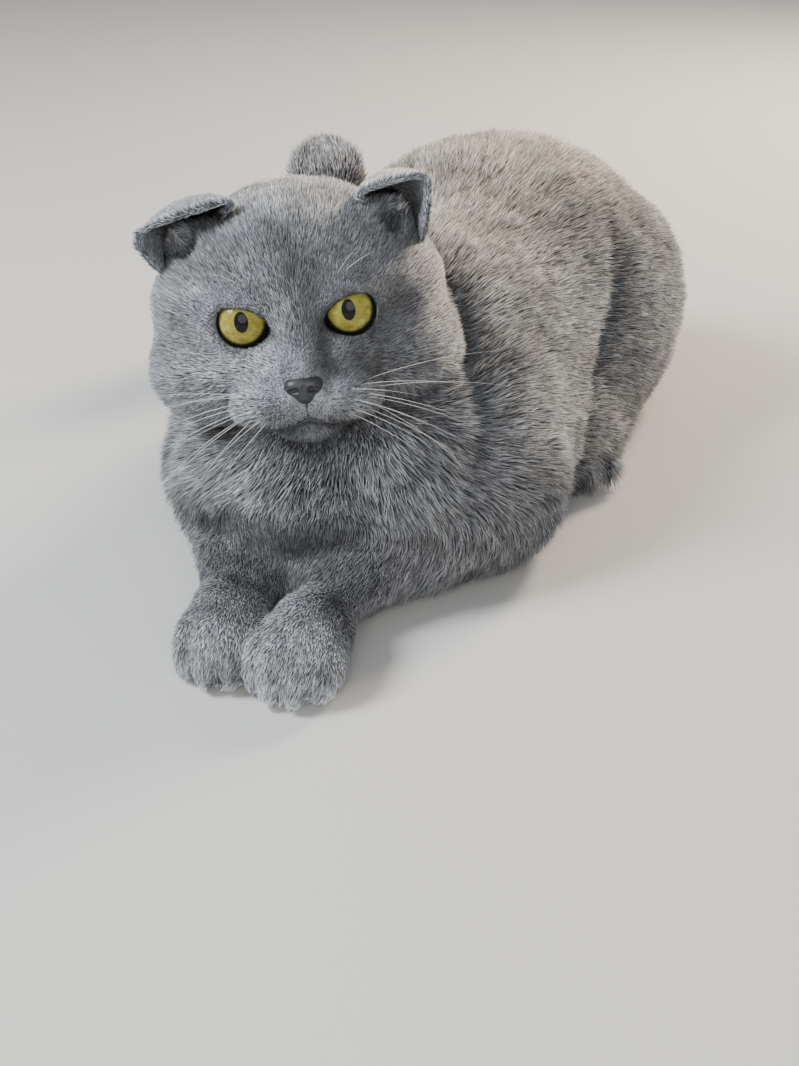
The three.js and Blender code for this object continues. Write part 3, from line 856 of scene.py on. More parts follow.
def skin_piece(settings, coat):
    p, quads, skin_count = skin_and_ears(settings, coat)
    mesh = mesh_from("skin", p, quads)
    n = read(mesh, "vertices", "normal", 3)
    q = to_head(p)
    is_ear = np.arange(len(p)) >= skin_count
    regions, jaw_shade = region_weights(p)
    for name in regions:
        regions[name] = np.where(is_ear, 0, regions[name])
    regions["ear"] = is_ear.astype(np.float32)

    length = hair_length(p, coat)
    length[is_ear] = EAR_HAIR
    eye = np.full(len(p), 99.0, np.float32)
    for _, side in SIDES:
        ring = in_eye(q, side)[2]
        eye = np.minimum(eye, np.where(q[:, 1] < 2 - EYE_DEPTH, ring, 9))
    tip = on_face(0, NOSE_Z)
    nose = np.linalg.norm((q - tip) / np.array((7.5, 7, 6.5), np.float32), axis=1)
    lie = lie_of_coat(p, n, regions)
    lift = hair_lift(p, length)[:, None]
    way = lie * np.cos(lift) + n * np.sin(lift)
    density = np.clip(13 / (length + 1.8), 0.8, 3.4)
    density = density * (1 + 0.6 * (regions["head"] + regions["ear"]))
    density = density * (eye > 1.08) * (nose > 1.0)
    density = density * np.where(p[:, 2] < 1.5, 0.05, 1) * np.where(is_ear, 1.25, 1)
    width = 0.10 + 0.036 * length
    # Painted shade under the jaw, where the head meets the chest
    tone = markings_and_painted_light(p, q, regions) - 0.22 * jaw_shade
    # Painted warm light from behind on the top of the back, and on the tail
    warm = smooth(95, 140, p[:, 2]) * regions["body"] + 0.8 * regions["tail"]
    tone = np.where(eye < 1.2, tone * 0.5, tone)
    loose = np.clip(length / 10, 0.22, 1.0)
    for name, values in (
        ("hair_length", length * MM),
        ("hair_width", width * MM),
        ("hair_density", density),
        ("tone", tone),
        ("loose", loose),
        ("warm", warm),
    ):
        store(mesh, name, "FLOAT", "POINT", values)
    store(mesh, "hair_way", "FLOAT_VECTOR", "POINT", way)

    first = read(mesh, "loops", "vertex_index", 1, np.int32)[::4]
    strongest = np.argmax(np.stack([regions[name] for name in REGION_ROWS]), 0)
    row = strongest[first]
    unwrap(mesh, row)
    share_out(mesh, first, row, density, p[first], coat)
    return link("skin", mesh)


# Shaders
class Socket:
    """A shader socket that takes part in sums: each operator adds its Math node."""

    def __init__(self, material, socket):
        self.material = material
        self.socket = socket

    def math(self, operation, *others):
        node = self.material.node_tree.nodes.new("ShaderNodeMath")
        node.operation = operation
        for slot, value in zip(node.inputs, (self, *others)):
            set_socket(self.material, slot, value)
        return Socket(self.material, node.outputs[0])

    def __add__(self, other):
        return self.math("ADD", other)

    __radd__ = __add__

    def __mul__(self, other):
        return self.math("MULTIPLY", other)

    __rmul__ = __mul__

    def __rsub__(self, other):
        return (self * -1) + other

    def __pow__(self, other):
        return self.math("POWER", other)

    def step(self, low, high):
        node = self.material.node_tree.nodes.new("ShaderNodeMapRange")
        node.interpolation_type = "SMOOTHSTEP"
        set_socket(self.material, node.inputs["Value"], self)
        node.inputs["From Min"].default_value = low
        node.inputs["From Max"].default_value = high
        return Socket(self.material, node.outputs["Result"])


def set_socket(material, slot, value):
    if isinstance(value, Socket):
        material.node_tree.links.new(value.socket, slot)
    elif isinstance(value, (tuple, list)) and slot.type == "RGBA" and len(value) == 3:
        slot.default_value = (*value, 1)
    else:
        slot.default_value = value


def input_slot(node, key):
    """An input by its name, with _ for a space, or by its number as i0, i1 and so on."""
    if key[0] == "i" and key[1:].isdigit():
        return node.inputs[int(key[1:])]
    return node.inputs[key.replace("_", " ")]


class Finish:
    """One material and the ways to add nodes to it."""

    def __init__(self, name):
        self.material = bpy.data.materials.new(name)
        self.material.use_nodes = True
        self.shader = self.material.node_tree.nodes["Principled BSDF"]

    def node(self, kind, settings=None, output=0, **inputs):
        node = self.material.node_tree.nodes.new(kind)
        for key, value in (settings or {}).items():
            setattr(node, key, value)
        for key, value in inputs.items():
            set_socket(self.material, input_slot(node, key), value)
        return Socket(self.material, node.outputs[output])

    def attribute(self, name, output="Fac"):
        return self.node("ShaderNodeAttribute", {"attribute_name": name}, output)

    def place(self):
        return self.node("ShaderNodeTexCoord", output="Object")

    def noise(self, scale, detail=3.0, vector=None):
        vector = vector or self.place()
        return self.node("ShaderNodeTexNoise", output="Fac", Vector=vector, Scale=scale, Detail=detail)

    def mix(self, factor, a, b, kind="MIX"):
        settings = {"data_type": "RGBA", "blend_type": kind}
        return self.node("ShaderNodeMix", settings, 2, i0=factor, i6=a, i7=b)

    def set(self, **inputs):
        for key, value in inputs.items():
            set_socket(self.material, self.shader.inputs[key.replace("_", " ")], value)
        return self


def coat_colour(finish, colours, along):
    """Dark at the root, silver at the end, lighter or darker by the coat's pattern, painted light and shade
    and by chance, and tinted by the painted warm light from behind.
    """
    tone = finish.attribute("tone")
    patch = finish.noise(38.0, 4.0)
    streak = finish.noise(160.0, 2.0)
    low = finish.mix(along.step(0.0, 0.55), tuple(colours.root), tuple(colours.middle))
    high = finish.mix(along.step(0.45, 1.0), low, tuple(colours.tip))
    strength = (tone * 1.5 + 0.25) * (patch * 1.9 + 0.05) * (streak * 1.2 + 0.4)
    grey = finish.node("ShaderNodeCombineColor", i0=strength, i1=strength, i2=strength)
    colour = finish.mix(1.0, high, grey, "MULTIPLY")
    return finish.mix(finish.attribute("warm"), colour, tuple(colours.warmth), "MULTIPLY")


def coat_finish(colours):
    finish = Finish("coat_hair")
    along = finish.attribute("along")
    shade = finish.attribute("shade")
    colour = coat_colour(finish, colours, along)
    spread = shade * shade * 1.35 + 0.5
    grey = finish.node("ShaderNodeCombineColor", i0=spread, i1=spread, i2=spread)
    colour = finish.mix(1.0, colour, grey, "MULTIPLY")
    finish.set(Base_Color=colour, Roughness=0.62, Specular_IOR_Level=0.35)
    finish.set(Sheen_Weight=0.08, Sheen_Roughness=0.5)
    return finish.material


def skin_finish(colours):
    finish = Finish("skin_undercoat")
    fuzz = finish.noise(900.0, 3.0)
    colour = coat_colour(finish, colours, fuzz * 0.8)
    bump = finish.node("ShaderNodeBump", Strength=0.5, Distance=0.0006, Height=fuzz)
    finish.set(Base_Color=colour, Roughness=0.85, Normal=bump, Specular_IOR_Level=0.2)
    return finish.material


def eye_finish(colours):
    """Iris with fine rays, dark rim and a tall pupil, from the eyeball's own angles."""
    finish = Finish("eye_iris")
    across = finish.attribute("eye_across")
    high = finish.attribute("eye_high")
    out = (across * across + high * high) ** 0.5
    turn = finish.node("ShaderNodeMath", {"operation": "ARCTAN2"}, i0=across, i1=high)
    rays_place = finish.node("ShaderNodeCombineXYZ", X=turn * 9.0, Y=out * 2.0, Z=0.0)
    rays = finish.noise(3.2, 4.0, rays_place)
    clouds = finish.noise(420.0, 3.0)
    iris = tuple(colours.iris)
    deep = tuple(c * f for c, f in zip(iris, (0.42, 0.46, 0.45)))
    pale = tuple(min(c * f, 1) for c, f in zip(iris, (1.35, 1.45, 1.9)))
    colour = finish.mix(rays.step(0.30, 0.72), deep, iris)
    colour = finish.mix(out.step(0.25, 0.5) * clouds.step(0.35, 0.75) * 0.6, colour, pale)
    # Painted shadow of the upper lid: the iris darker towards its top
    colour = finish.mix(high.step(0.1, 0.6) * 0.6, colour, deep)
    colour = finish.mix(out.step(0.62, 0.74), colour, (0.012, 0.013, 0.010))
    pupil = ((across * 4.7) ** 2.0 + (high * 3.1) ** 2.0) ** 0.5
    colour = finish.mix(1 - pupil.step(0.92, 1.04), colour, (0.004, 0.004, 0.005))
    finish.set(Base_Color=colour, Roughness=0.5, Specular_IOR_Level=0.1)
    finish.set(Coat_Weight=0.7, Coat_Roughness=0.015, Coat_IOR=1.3)
    return finish.material


def leather_finish(name, colour, roughness=0.42):
    finish = Finish(name)
    cells = {"feature": "DISTANCE_TO_EDGE"}
    pebbles = finish.node(
        "ShaderNodeTexVoronoi", cells, "Distance", Vector=finish.place(), Scale=1500.0
    )
    patches = finish.noise(260.0)
    pale = tuple(c * 1.5 for c in colour)
    tint = finish.mix(patches.step(0.35, 0.7), colour, pale)
    bump = finish.node("ShaderNodeBump", Strength=0.35, Distance=0.0002, Height=pebbles)
    finish.set(Base_Color=tint, Roughness=roughness, Normal=bump)
    return finish.material


def whisker_finish():
    finish = Finish("whisker_white")
    along = finish.attribute("along")
    colour = finish.mix(along.step(0.0, 0.25), (0.38, 0.38, 0.39), (0.88, 0.87, 0.85))
    finish.set(Base_Color=colour, Roughness=0.35)
    return finish.material


def floor_finish():
    finish = Finish("floor_pale")
    cloud = finish.noise(0.8, 2.0)
    colour = finish.mix(cloud, (0.62, 0.615, 0.60), (0.66, 0.655, 0.645))
    finish.set(Base_Color=colour, Roughness=0.8)
    return finish.material


# Geometry Nodes
class Tree:
    """A Geometry Nodes tree with named inputs."""

    def __init__(self, name, inputs):
        self.group = bpy.data.node_groups.new(name, "GeometryNodeTree")
        self.group.interface.new_socket("Geometry", in_out="INPUT", socket_type="NodeSocketGeometry")
        self.names = {}
        for label, (kind, value) in inputs.items():
            item = self.group.interface.new_socket(label, in_out="INPUT", socket_type=kind)
            if kind != "NodeSocketMaterial":
                item.default_value = value
            self.names[label] = item.identifier
        self.group.interface.new_socket("Geometry", in_out="OUTPUT", socket_type="NodeSocketGeometry")
        self.input = self.group.nodes.new("NodeGroupInput")
        self.output = self.group.nodes.new("NodeGroupOutput")

    def add(self, kind, settings=None, output=0, **inputs):
        node = self.group.nodes.new(kind)
        for key, value in (settings or {}).items():
            setattr(node, key, value)
        for key, value in inputs.items():
            slot = input_slot(node, key)
            if isinstance(value, bpy.types.NodeSocket):
                self.group.links.new(value, slot)
            else:
                slot.default_value = value
        return node.outputs[output]

    def given(self, label):
        return self.input.outputs[label]

    def math(self, operation, *values):
        inputs = {f"i{k}": value for k, value in enumerate(values)}
        return self.add("ShaderNodeMath", {"operation": operation}, **inputs)

    def vector(self, operation, *values, scale=None):
        inputs = {f"i{k}": value for k, value in enumerate(values)}
        if scale is not None:
            inputs["Scale"] = scale
        return self.add("ShaderNodeVectorMath", {"operation": operation}, **inputs)

    def attribute(self, name, kind="FLOAT"):
        return self.add("GeometryNodeInputNamedAttribute", {"data_type": kind}, Name=name)

    def store(self, geometry, name, kind, domain, value):
        settings = {"data_type": kind, "domain": domain}
        return self.add(
            "GeometryNodeStoreNamedAttribute", settings, Geometry=geometry, Name=name, Value=value
        )

    def run(self, name, mesh, values):
        """A new object with the tree's result as its plain mesh."""
        carrier = link(name + "_carrier", mesh)
        modifier = carrier.modifiers.new("nodes", "NODES")
        modifier.node_group = self.group
        for label, value in values.items():
            modifier[self.names[label]] = value
        bpy.context.view_layer.update()
        evaluated = carrier.evaluated_get(bpy.context.evaluated_depsgraph_get())
        result = bpy.data.meshes.new_from_object(evaluated)
        carrier.modifiers.remove(modifier)
        bpy.data.objects.remove(carrier)
        result.name = name
        return link(name, result)


def above_floor(tree, position, way, length):
    """Bends a hair's way so that its end doesn't go under the floor."""
    way = tree.vector("NORMALIZE", way)
    height = tree.add("ShaderNodeSeparateXYZ", None, "Z", Vector=position)
    lowest = tree.math("DIVIDE", tree.math("SUBTRACT", 0.0006, height), length)
    parts = tree.group.nodes.new("ShaderNodeSeparateXYZ")
    tree.group.links.new(way, parts.inputs[0])
    rise = tree.math("MINIMUM", tree.math("MAXIMUM", parts.outputs["Z"], lowest), 0.95)
    flat = tree.add("ShaderNodeCombineXYZ", X=parts.outputs["X"], Y=parts.outputs["Y"])
    reach = tree.math("SQRT", tree.math("SUBTRACT", 1.0, tree.math("MULTIPLY", rise, rise)))
    flat = tree.vector("SCALE", tree.vector("NORMALIZE", flat), scale=reach)
    return tree.vector("ADD", flat, tree.add("ShaderNodeCombineXYZ", Z=rise))


def coat_tree():
    tree = Tree(
        "coat_tufts",
        {
            "Density": ("NodeSocketFloat", 1.0),
            "Piece": ("NodeSocketFloat", 0.0),
            "Seed": ("NodeSocketInt", 1),
            "Patch": ("NodeSocketFloat", 0.003),
            "Finish": ("NodeSocketMaterial", None),
        },
    )
    piece = tree.attribute("coat_piece")
    here = tree.math("COMPARE", piece, tree.given("Piece"), 0.1)
    density = tree.math("MULTIPLY", tree.attribute("hair_density"), tree.given("Density"))
    density = tree.math("MULTIPLY", density, here)
    points = tree.add(
        "GeometryNodeDistributePointsOnFaces",
        Mesh=tree.given("Geometry"),
        Density=density,
        Seed=tree.given("Seed"),
    )
    chance = tree.add("FunctionNodeRandomValue", {"data_type": "FLOAT"}, 1, Seed=3)
    points = tree.store(points, "shade", "FLOAT", "POINT", chance)
    points = tree.store(points, "root_uv", "FLOAT_VECTOR", "POINT", tree.attribute("OFBake", "FLOAT_VECTOR"))
    for spare in ("OFBake", "hair_density", "coat_piece"):
        points = tree.add("GeometryNodeRemoveAttribute", Geometry=points, Name=spare)

    position = tree.add("GeometryNodeInputPosition")
    locks = tree.add("ShaderNodeTexNoise", None, "Color", Vector=position, Scale=95.0, Detail=2.0)
    locks = tree.vector("SUBTRACT", locks, (0.5, 0.5, 0.5))
    stray = tree.add(
        "FunctionNodeRandomValue", {"data_type": "FLOAT_VECTOR"}, 0, i0=(-1, -1, -1), i1=(1, 1, 1), Seed=5
    )
    loose = tree.attribute("loose")
    locks = tree.vector("SCALE", locks, scale=tree.math("MULTIPLY", loose, 1.15))
    stray = tree.vector("SCALE", stray, scale=tree.math("MULTIPLY", loose, 0.2))
    way = tree.vector("ADD", tree.attribute("hair_way", "FLOAT_VECTOR"), tree.vector("ADD", locks, stray))
    uneven = tree.add("FunctionNodeRandomValue", {"data_type": "FLOAT"}, 1, i2=0.72, i3=1.16, Seed=8)
    length = tree.math("MULTIPLY", tree.attribute("hair_length"), uneven)
    way = above_floor(tree, position, way, length)
    rotation = tree.add("FunctionNodeAlignRotationToVector", {"axis": "Z"}, Vector=way)
    width = tree.attribute("hair_width")
    size = tree.add("ShaderNodeCombineXYZ", X=width, Y=width, Z=length)

    spike = tree.add(
        "GeometryNodeMeshCone",
        {"fill_type": "NGON"},
        Vertices=3,
        Side_Segments=1,
        Radius_Top=0.0,
        Radius_Bottom=1.0,
        Depth=1.0,
    )
    place = tree.add("ShaderNodeSeparateXYZ", None, "Z", Vector=tree.add("GeometryNodeInputPosition"))
    across = tree.add("ShaderNodeSeparateXYZ", None, "X", Vector=tree.add("GeometryNodeInputPosition"))
    spike = tree.store(spike, "along", "FLOAT", "POINT", place)
    patch = tree.add("ShaderNodeCombineXYZ", X=tree.math("MULTIPLY", across, 0.5), Y=place)
    spike = tree.store(spike, "patch", "FLOAT_VECTOR", "POINT", patch)
    spike = tree.add("GeometryNodeSetShadeSmooth", Geometry=spike, Shade_Smooth=True)

    tufts = tree.add(
        "GeometryNodeInstanceOnPoints", Points=points, Instance=spike, Rotation=rotation, Scale=size
    )
    tufts = tree.add("GeometryNodeRealizeInstances", Geometry=tufts)
    offset = tree.vector(
        "SCALE", tree.attribute("patch", "FLOAT_VECTOR"), scale=tree.given("Patch")
    )
    uv = tree.vector("ADD", tree.attribute("root_uv", "FLOAT_VECTOR"), offset)
    tufts = tree.store(tufts, "OFBake", "FLOAT2", "CORNER", uv)
    for spare in ("patch", "root_uv", "hair_way", "hair_length", "hair_width", "loose"):
        tufts = tree.add("GeometryNodeRemoveAttribute", Geometry=tufts, Name=spare)
    tufts = tree.add("GeometryNodeSetMaterial", Geometry=tufts, Material=tree.given("Finish"))
    tree.group.links.new(tufts, tree.output.inputs["Geometry"])
    return tree


def whisker_tree():
    tree = Tree(
        "whiskers",
        {
            "Thickness": ("NodeSocketFloat", 0.00011),
            "Sag": ("NodeSocketFloat", 0.16),
            "Finish": ("NodeSocketMaterial", None),
        },
    )
    line = tree.add("GeometryNodeCurvePrimitiveLine", i0=(0, 0, 0), i1=(0, 0, 1))
    line = tree.add("GeometryNodeResampleCurve", Curve=line, Count=12)
    along = tree.add("GeometryNodeSplineParameter", None, "Factor")
    line = tree.store(line, "along", "FLOAT", "POINT", along)
    bend = tree.math("MULTIPLY", tree.math("POWER", along, 2.0), tree.given("Sag"))
    move = tree.add("ShaderNodeCombineXYZ", X=bend)
    line = tree.add("GeometryNodeSetPosition", Geometry=line, Offset=move)
    points = tree.add("GeometryNodeMeshToPoints", Mesh=tree.given("Geometry"))
    reach = tree.attribute("reach")
    turn = tree.add(
        "FunctionNodeAxesToRotation",
        {"primary_axis": "Z", "secondary_axis": "X"},
        i0=tree.attribute("way", "FLOAT_VECTOR"),
        i1=(0, 0, -1),
    )
    hairs = tree.add(
        "GeometryNodeInstanceOnPoints",
        Points=points,
        Instance=line,
        Rotation=turn,
        Scale=tree.add("ShaderNodeCombineXYZ", X=reach, Y=reach, Z=reach),
    )
    hairs = tree.add("GeometryNodeRealizeInstances", Geometry=hairs)
    taper = tree.math("SUBTRACT", 1.0, tree.math("MULTIPLY", tree.attribute("along"), 0.85))
    radius = tree.math("MULTIPLY", taper, tree.given("Thickness"))
    hairs = tree.add("GeometryNodeSetCurveRadius", Curve=hairs, Radius=radius)
    ring = tree.add("GeometryNodeCurvePrimitiveCircle", Resolution=5, Radius=1.0)
    scale = tree.add("GeometryNodeInputRadius")
    tube = tree.add(
        "GeometryNodeCurveToMesh", Curve=hairs, Profile_Curve=ring, Scale=scale, Fill_Caps=True
    )
    tube = tree.add("GeometryNodeSetShadeSmooth", Geometry=tube, Shade_Smooth=True)
    tube = tree.add("GeometryNodeSetMaterial", Geometry=tube, Material=tree.given("Finish"))
    tree.group.links.new(tube, tree.output.inputs["Geometry"])
    return tree


# Small pieces of the face
def tube_mesh(name, path, radius, sides=8, closed=False):
    """A tube along points in millimetres, with a radius for each point."""
    path = np.asarray(path, float)
    count = len(path)
    if closed:
        tangent = unit(np.roll(path, -1, 0) - np.roll(path, 1, 0))
    else:
        tangent = unit(np.gradient(path, axis=0))
    up = np.array(HEAD.to_3x3() @ Vector((0, -1, 0)))
    side = unit(np.cross(tangent, up))
    rise = np.cross(side, tangent)
    radius = np.broadcast_to(np.asarray(radius, float), (count,))
    turn = np.linspace(0, 2 * np.pi, sides, endpoint=False)
    ring = (
        side[:, None] * np.cos(turn)[None, :, None] + rise[:, None] * np.sin(turn)[None, :, None]
    ) * radius[:, None, None]
    points = (path[:, None] + ring).reshape(-1, 3)
    index = np.arange(count * sides).reshape(count, sides)
    after = np.roll(index, -1, 0) if closed else index[1:]
    before = index if closed else index[:-1]
    quads = np.stack(
        [before, np.roll(before, -1, 1), np.roll(after, -1, 1), after], -1
    ).reshape(-1, 4)
    mesh = mesh_from(name, points, quads)
    close_and_face_out(mesh)
    return mesh


def close_and_face_out(mesh):
    work = bmesh.new()
    work.from_mesh(mesh)
    bmesh.ops.holes_fill(work, edges=[e for e in work.edges if e.is_boundary])
    bmesh.ops.recalc_face_normals(work, faces=work.faces)
    work.to_mesh(mesh)
    work.free()


def lid_point(side, around, out, lift):
    inner = np.maximum(-side * np.cos(around), 0)
    wide = np.cos(around) * (LID_HALF_WIDE * (1 + CORNER_REACH * inner**6) + out)
    high = np.sin(around) * (np.where(np.sin(around) > 0, LID_UPPER, LID_LOWER) + out)
    slant = side * EYE_SLANT
    x = wide * math.cos(slant) - high * math.sin(slant)
    z = wide * math.sin(slant) + high * math.cos(slant)
    reach = EYE_RADIUS + lift
    y = -np.sqrt(np.maximum(reach * reach - x * x - z * z, 9))
    return np.stack([x + side * EYE_SPREAD, y - EYE_DEPTH, z], -1)


def eye_mesh(name, side):
    """An eyeball with a slight bulge at the cornea, and where each point is seen from its front."""
    low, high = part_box("eye_" + name)
    centre = (low + high) / 2 / MM
    gaze = (Vector(CAMERA_PLACE) / MM + Vector((-40, -20, -60)) - centre).normalized()
    up = HEAD.to_3x3() @ Vector((0, 0, 1))
    right = gaze.cross(up).normalized()
    up = right.cross(gaze)
    rings = 56
    around = 72
    theta = np.linspace(0, np.pi, rings + 1)[1:-1]
    phi = np.linspace(0, 2 * np.pi, around, endpoint=False)
    t, f = np.meshgrid(theta, phi, indexing="ij")
    local = np.stack([np.sin(t) * np.cos(f), np.sin(t) * np.sin(f), np.cos(t)], -1).reshape(-1, 3)
    local = np.concatenate([local, [[0, 0, 1], [0, 0, -1]]])
    bulge = 0.9 * np.exp(-((np.arccos(np.clip(local[:, 2], -1, 1)) / 0.62) ** 2))
    basis = np.array([right, up, gaze])
    points = np.array(centre) + (local * (EYE_RADIUS - 0.4 + bulge)[:, None]) @ basis
    index = np.arange((rings - 1) * around).reshape(rings - 1, around)
    quads = np.stack(
        [np.roll(index[:-1], -1, 1), np.roll(index[1:], -1, 1), index[1:], index[:-1]], -1
    ).reshape(-1, 4)
    mesh = bpy.data.meshes.new("eyeball_" + name)
    top = len(points) - 2
    caps = [(top, int(b), int(a)) for a, b in zip(index[0], np.roll(index[0], -1))]
    caps += [(top + 1, int(a), int(b)) for a, b in zip(index[-1], np.roll(index[-1], -1))]
    mesh.from_pydata((points * MM).tolist(), [], quads.tolist() + caps)
    mesh.polygons.foreach_set("use_smooth", np.ones(len(mesh.polygons), bool))
    facing = local[:, 2] > -0.05
    store(mesh, "eye_across", "FLOAT", "POINT", np.where(facing, local[:, 0], 2))
    store(mesh, "eye_high", "FLOAT", "POINT", np.where(facing, local[:, 1], 2))
    return mesh


def nose_mesh():
    """The nose pad at fine detail, with a middle groove and two comma-shaped nostrils."""
    tip = on_face(0, NOSE_Z)
    y = tip[1] + 0.8
    forms = [
        ellipsoid((0, y, NOSE_Z + 2.2), (7, 3.8, 3.2)),
        ellipsoid((0, y, NOSE_Z - 1.5), (3.6, 3.5, 4.2)),
        ellipsoid((3.6, y + 0.2, NOSE_Z + 1.0), (3.2, 3.6, 2.8)),
        ellipsoid((-3.6, y + 0.2, NOSE_Z + 1.0), (3.2, 3.6, 2.8)),
    ]
    step = 0.3
    spans = ((-9, 9), (y - 7, y + 7), (NOSE_Z - 8, NOSE_Z + 8))
    axis = [np.arange(a, b, step, dtype=np.float32) for a, b in spans]
    q = np.stack(np.meshgrid(*axis, indexing="ij"), -1)
    field = blend_all(forms, q, 2.2)
    carve = [rod((0, y - 4.2, NOSE_Z + 3), (0, y - 4.0, NOSE_Z - 7), 0.45, 0.45)]
    for side in (-1, 1):
        inner = (side * 2.9, y - 3.6, NOSE_Z + 0.4)
        middle = (side * 4.6, y - 2.8, NOSE_Z + 0.2)
        outer = (side * 6.4, y - 1.6, NOSE_Z - 0.9)
        carve += [rod(inner, middle, 1.25, 1.0), rod(middle, outer, 0.9, 0.4)]
    for form in carve:
        field = -blend_two(-field, form[0](q), 0.7)
    grid = openvdb.FloatGrid(20.0)
    grid.copyFromArray(field.astype(np.float32))
    points, quads = grid.convertToQuads(0.0)
    start = np.array([a[0] for a in axis])
    return mesh_from("nose_pad", from_head(points * step + start), quads)


def lip_place(across):
    """A place on the line between the lips, seen from the front, from -1 at one end to 1."""
    out = abs(across)
    sag = 2.6 * math.sin(min(out * 2, 1) * math.pi / 2)
    curl = 12 * max(out - 0.5, 0) ** 1.5
    return across * MOUTH_HALF_WIDTH, MOUTH_Z - sag + curl


def mouth_path():
    lips = []
    for i in range(-12, 13):
        x, z = lip_place(i / 12)
        lips.append(on_face(x, z, 0.7 + 0.4 * abs(i / 12)))
    return from_head(np.array(lips))


def hairs_mesh(name, roots, ways, reaches):
    mesh = bpy.data.meshes.new(name)
    mesh.from_pydata([tuple(np.array(r) * MM) for r in roots], [], [])
    store(mesh, "way", "FLOAT_VECTOR", "POINT", np.array([tuple(w) for w in ways]))
    store(mesh, "reach", "FLOAT", "POINT", np.array(reaches) * MM)
    return mesh


def pad_place(side, row, column):
    """A place on a whisker pad, counted in rows down from the nose and columns outwards."""
    x = side * (9.5 + 3.3 * column + 0.8 * (row % 2))
    z = MUZZLE_Z + 4.2 - 2.7 * row - 0.35 * column + 0.16 * column**2
    return x, z


def whisker_roots():
    """Some whiskers in each pad and a few over each eye, with the way and reach of each."""
    roots = []
    ways = []
    reaches = []
    for _, side in SIDES:
        for row in range(4):
            for column in (1, 3, 4):
                roots.append(from_head(on_face(*pad_place(side, row, column), 1.0)))
                wobble = math.sin(7.3 * row + 3.1 * column + side)
                way = (side, -0.38 + 0.14 * column + 0.1 * wobble, 0.12 - 0.24 * row + 0.1 * wobble)
                ways.append(HEAD.to_3x3() @ Vector(way).normalized())
                reaches.append(36 + 5 * column - 3 * abs(row - 1.3) + 6 * wobble)
        for k in range(2):
            roots.append(from_head(on_face(side * (17 + 3 * k), 13.5 + k, 1.0)))
            way = Vector((side * (0.45 + 0.25 * k), -0.55, 0.75 - 0.1 * k))
            ways.append(HEAD.to_3x3() @ way.normalized())
            reaches.append(20 - 3 * k)
    return hairs_mesh("whisker_roots", roots, ways, reaches)


def pad_marks():
    """Rows of short dark strokes on the pads, where the whiskers' roots show."""
    roots = []
    ways = []
    reaches = []
    for _, side in SIDES:
        for row in range(4):
            for column in range(6):
                x, z = pad_place(side, row, column)
                start = on_face(x, z, -1.9)
                end = on_face(x + side * 2.4, z + 0.1 * column, -2.3)
                roots.append(from_head(start))
                ways.append(Vector(from_head(end) - from_head(start)).normalized())
                reaches.append(2.3)
    return hairs_mesh("pad_marks", roots, ways, reaches)


def dress(piece, material):
    piece.data.materials.clear()
    piece.data.materials.append(material)
    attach(piece, "root")
    return piece


FLESH = [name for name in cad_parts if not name.startswith(("eye", "nose"))]


class OBJECT_OT_cat_skin(bpy.types.Operator):
    """Make the skin under the coat, in place of the solids of flesh"""

    bl_idname = "object.cat_skin"
    bl_label = "Skin"

    def execute(self, context):
        scene = context.scene
        skin = skin_piece(scene.cat_skin, scene.cat_coat)
        dress(skin, skin_finish(scene.cat_colours))
        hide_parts(*FLESH)
        return {"FINISHED"}


class OBJECT_OT_cat_coat(bpy.types.Operator):
    """Grow the coat's tufts on the skin, in a few pieces"""

    bl_idname = "object.cat_coat"
    bl_label = "Coat"

    def execute(self, context):
        scene = context.scene
        if "skin" not in bpy.data.objects:
            raise RuntimeError("The coat grows on the skin, so the skin is made first")
        skin = bpy.data.objects["skin"].data
        hair = coat_finish(scene.cat_colours)
        tree = coat_tree()
        for k in range(skin["pieces"]):
            values = {
                "Density": skin["tuft_density"],
                "Piece": float(k),
                "Seed": scene.cat_coat.seed + k,
                "Finish": hair,
            }
            piece = tree.run(f"coat_{k + 1}", skin, values)
            dress(piece, hair)
        return {"FINISHED"}


class OBJECT_OT_cat_eyes(bpy.types.Operator):
    """Make both eyeballs and the dark rims of their lids"""

    bl_idname = "object.cat_eyes"
    bl_label = "Eyes"

    def execute(self, context):
        colours = context.scene.cat_colours
        iris = eye_finish(colours)
        rim = leather_finish("lid_rim", tuple(c * 0.5 for c in colours.leather), 0.35)
        around = np.linspace(0, 2 * np.pi, 72, endpoint=False)
        for name, side in SIDES:
            eye = dress(link("eyeball_" + name, eye_mesh(name, side)), iris)
            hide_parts("eye_" + name)
            path = from_head(lid_point(side, around, 0.25, 0.15))
            lid = link("lid_" + name, tube_mesh("lid_" + name, path, LID_THICK, 10, closed=True))
            dress(lid, rim)
        return {"FINISHED"}


class OBJECT_OT_cat_nose(bpy.types.Operator):
    """Make the nose pad and the dark line of the lips"""

    bl_idname = "object.cat_nose"
    bl_label = "Nose and mouth"

    def execute(self, context):
        leather = leather_finish("nose_leather", tuple(context.scene.cat_colours.leather))
        nose = dress(link("nose_pad", nose_mesh()), leather)
        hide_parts("nose")
        path = mouth_path()
        ends = np.abs(np.linspace(-1, 1, len(path)))
        lips = link("lip_line", tube_mesh("lip_line", path, 1.0 - 0.8 * ends**1.5))
        dress(lips, leather)
        path = from_head(np.array([on_face(0, NOSE_Z - 5 - 1.3 * k, 0.6) for k in range(8)]))
        line = link("lip_parting", tube_mesh("lip_parting", path, 0.5))
        dress(line, leather)
        return {"FINISHED"}


class OBJECT_OT_cat_whiskers(bpy.types.Operator):
    """Set the whiskers in their pads and the long hairs over the eyes"""

    bl_idname = "object.cat_whiskers"
    bl_label = "Whiskers"

    def execute(self, context):
        white = whisker_finish()
        tree = whisker_tree()
        piece = tree.run("whiskers", whisker_roots(), {"Finish": white})
        dress(piece, white)
        dark = leather_finish("pad_mark", (0.05, 0.052, 0.06), 0.7)
        marks = tree.run("pad_marks", pad_marks(), {"Finish": dark, "Thickness": 0.00034, "Sag": 0.0})
        dress(marks, dark)
        return {"FINISHED"}


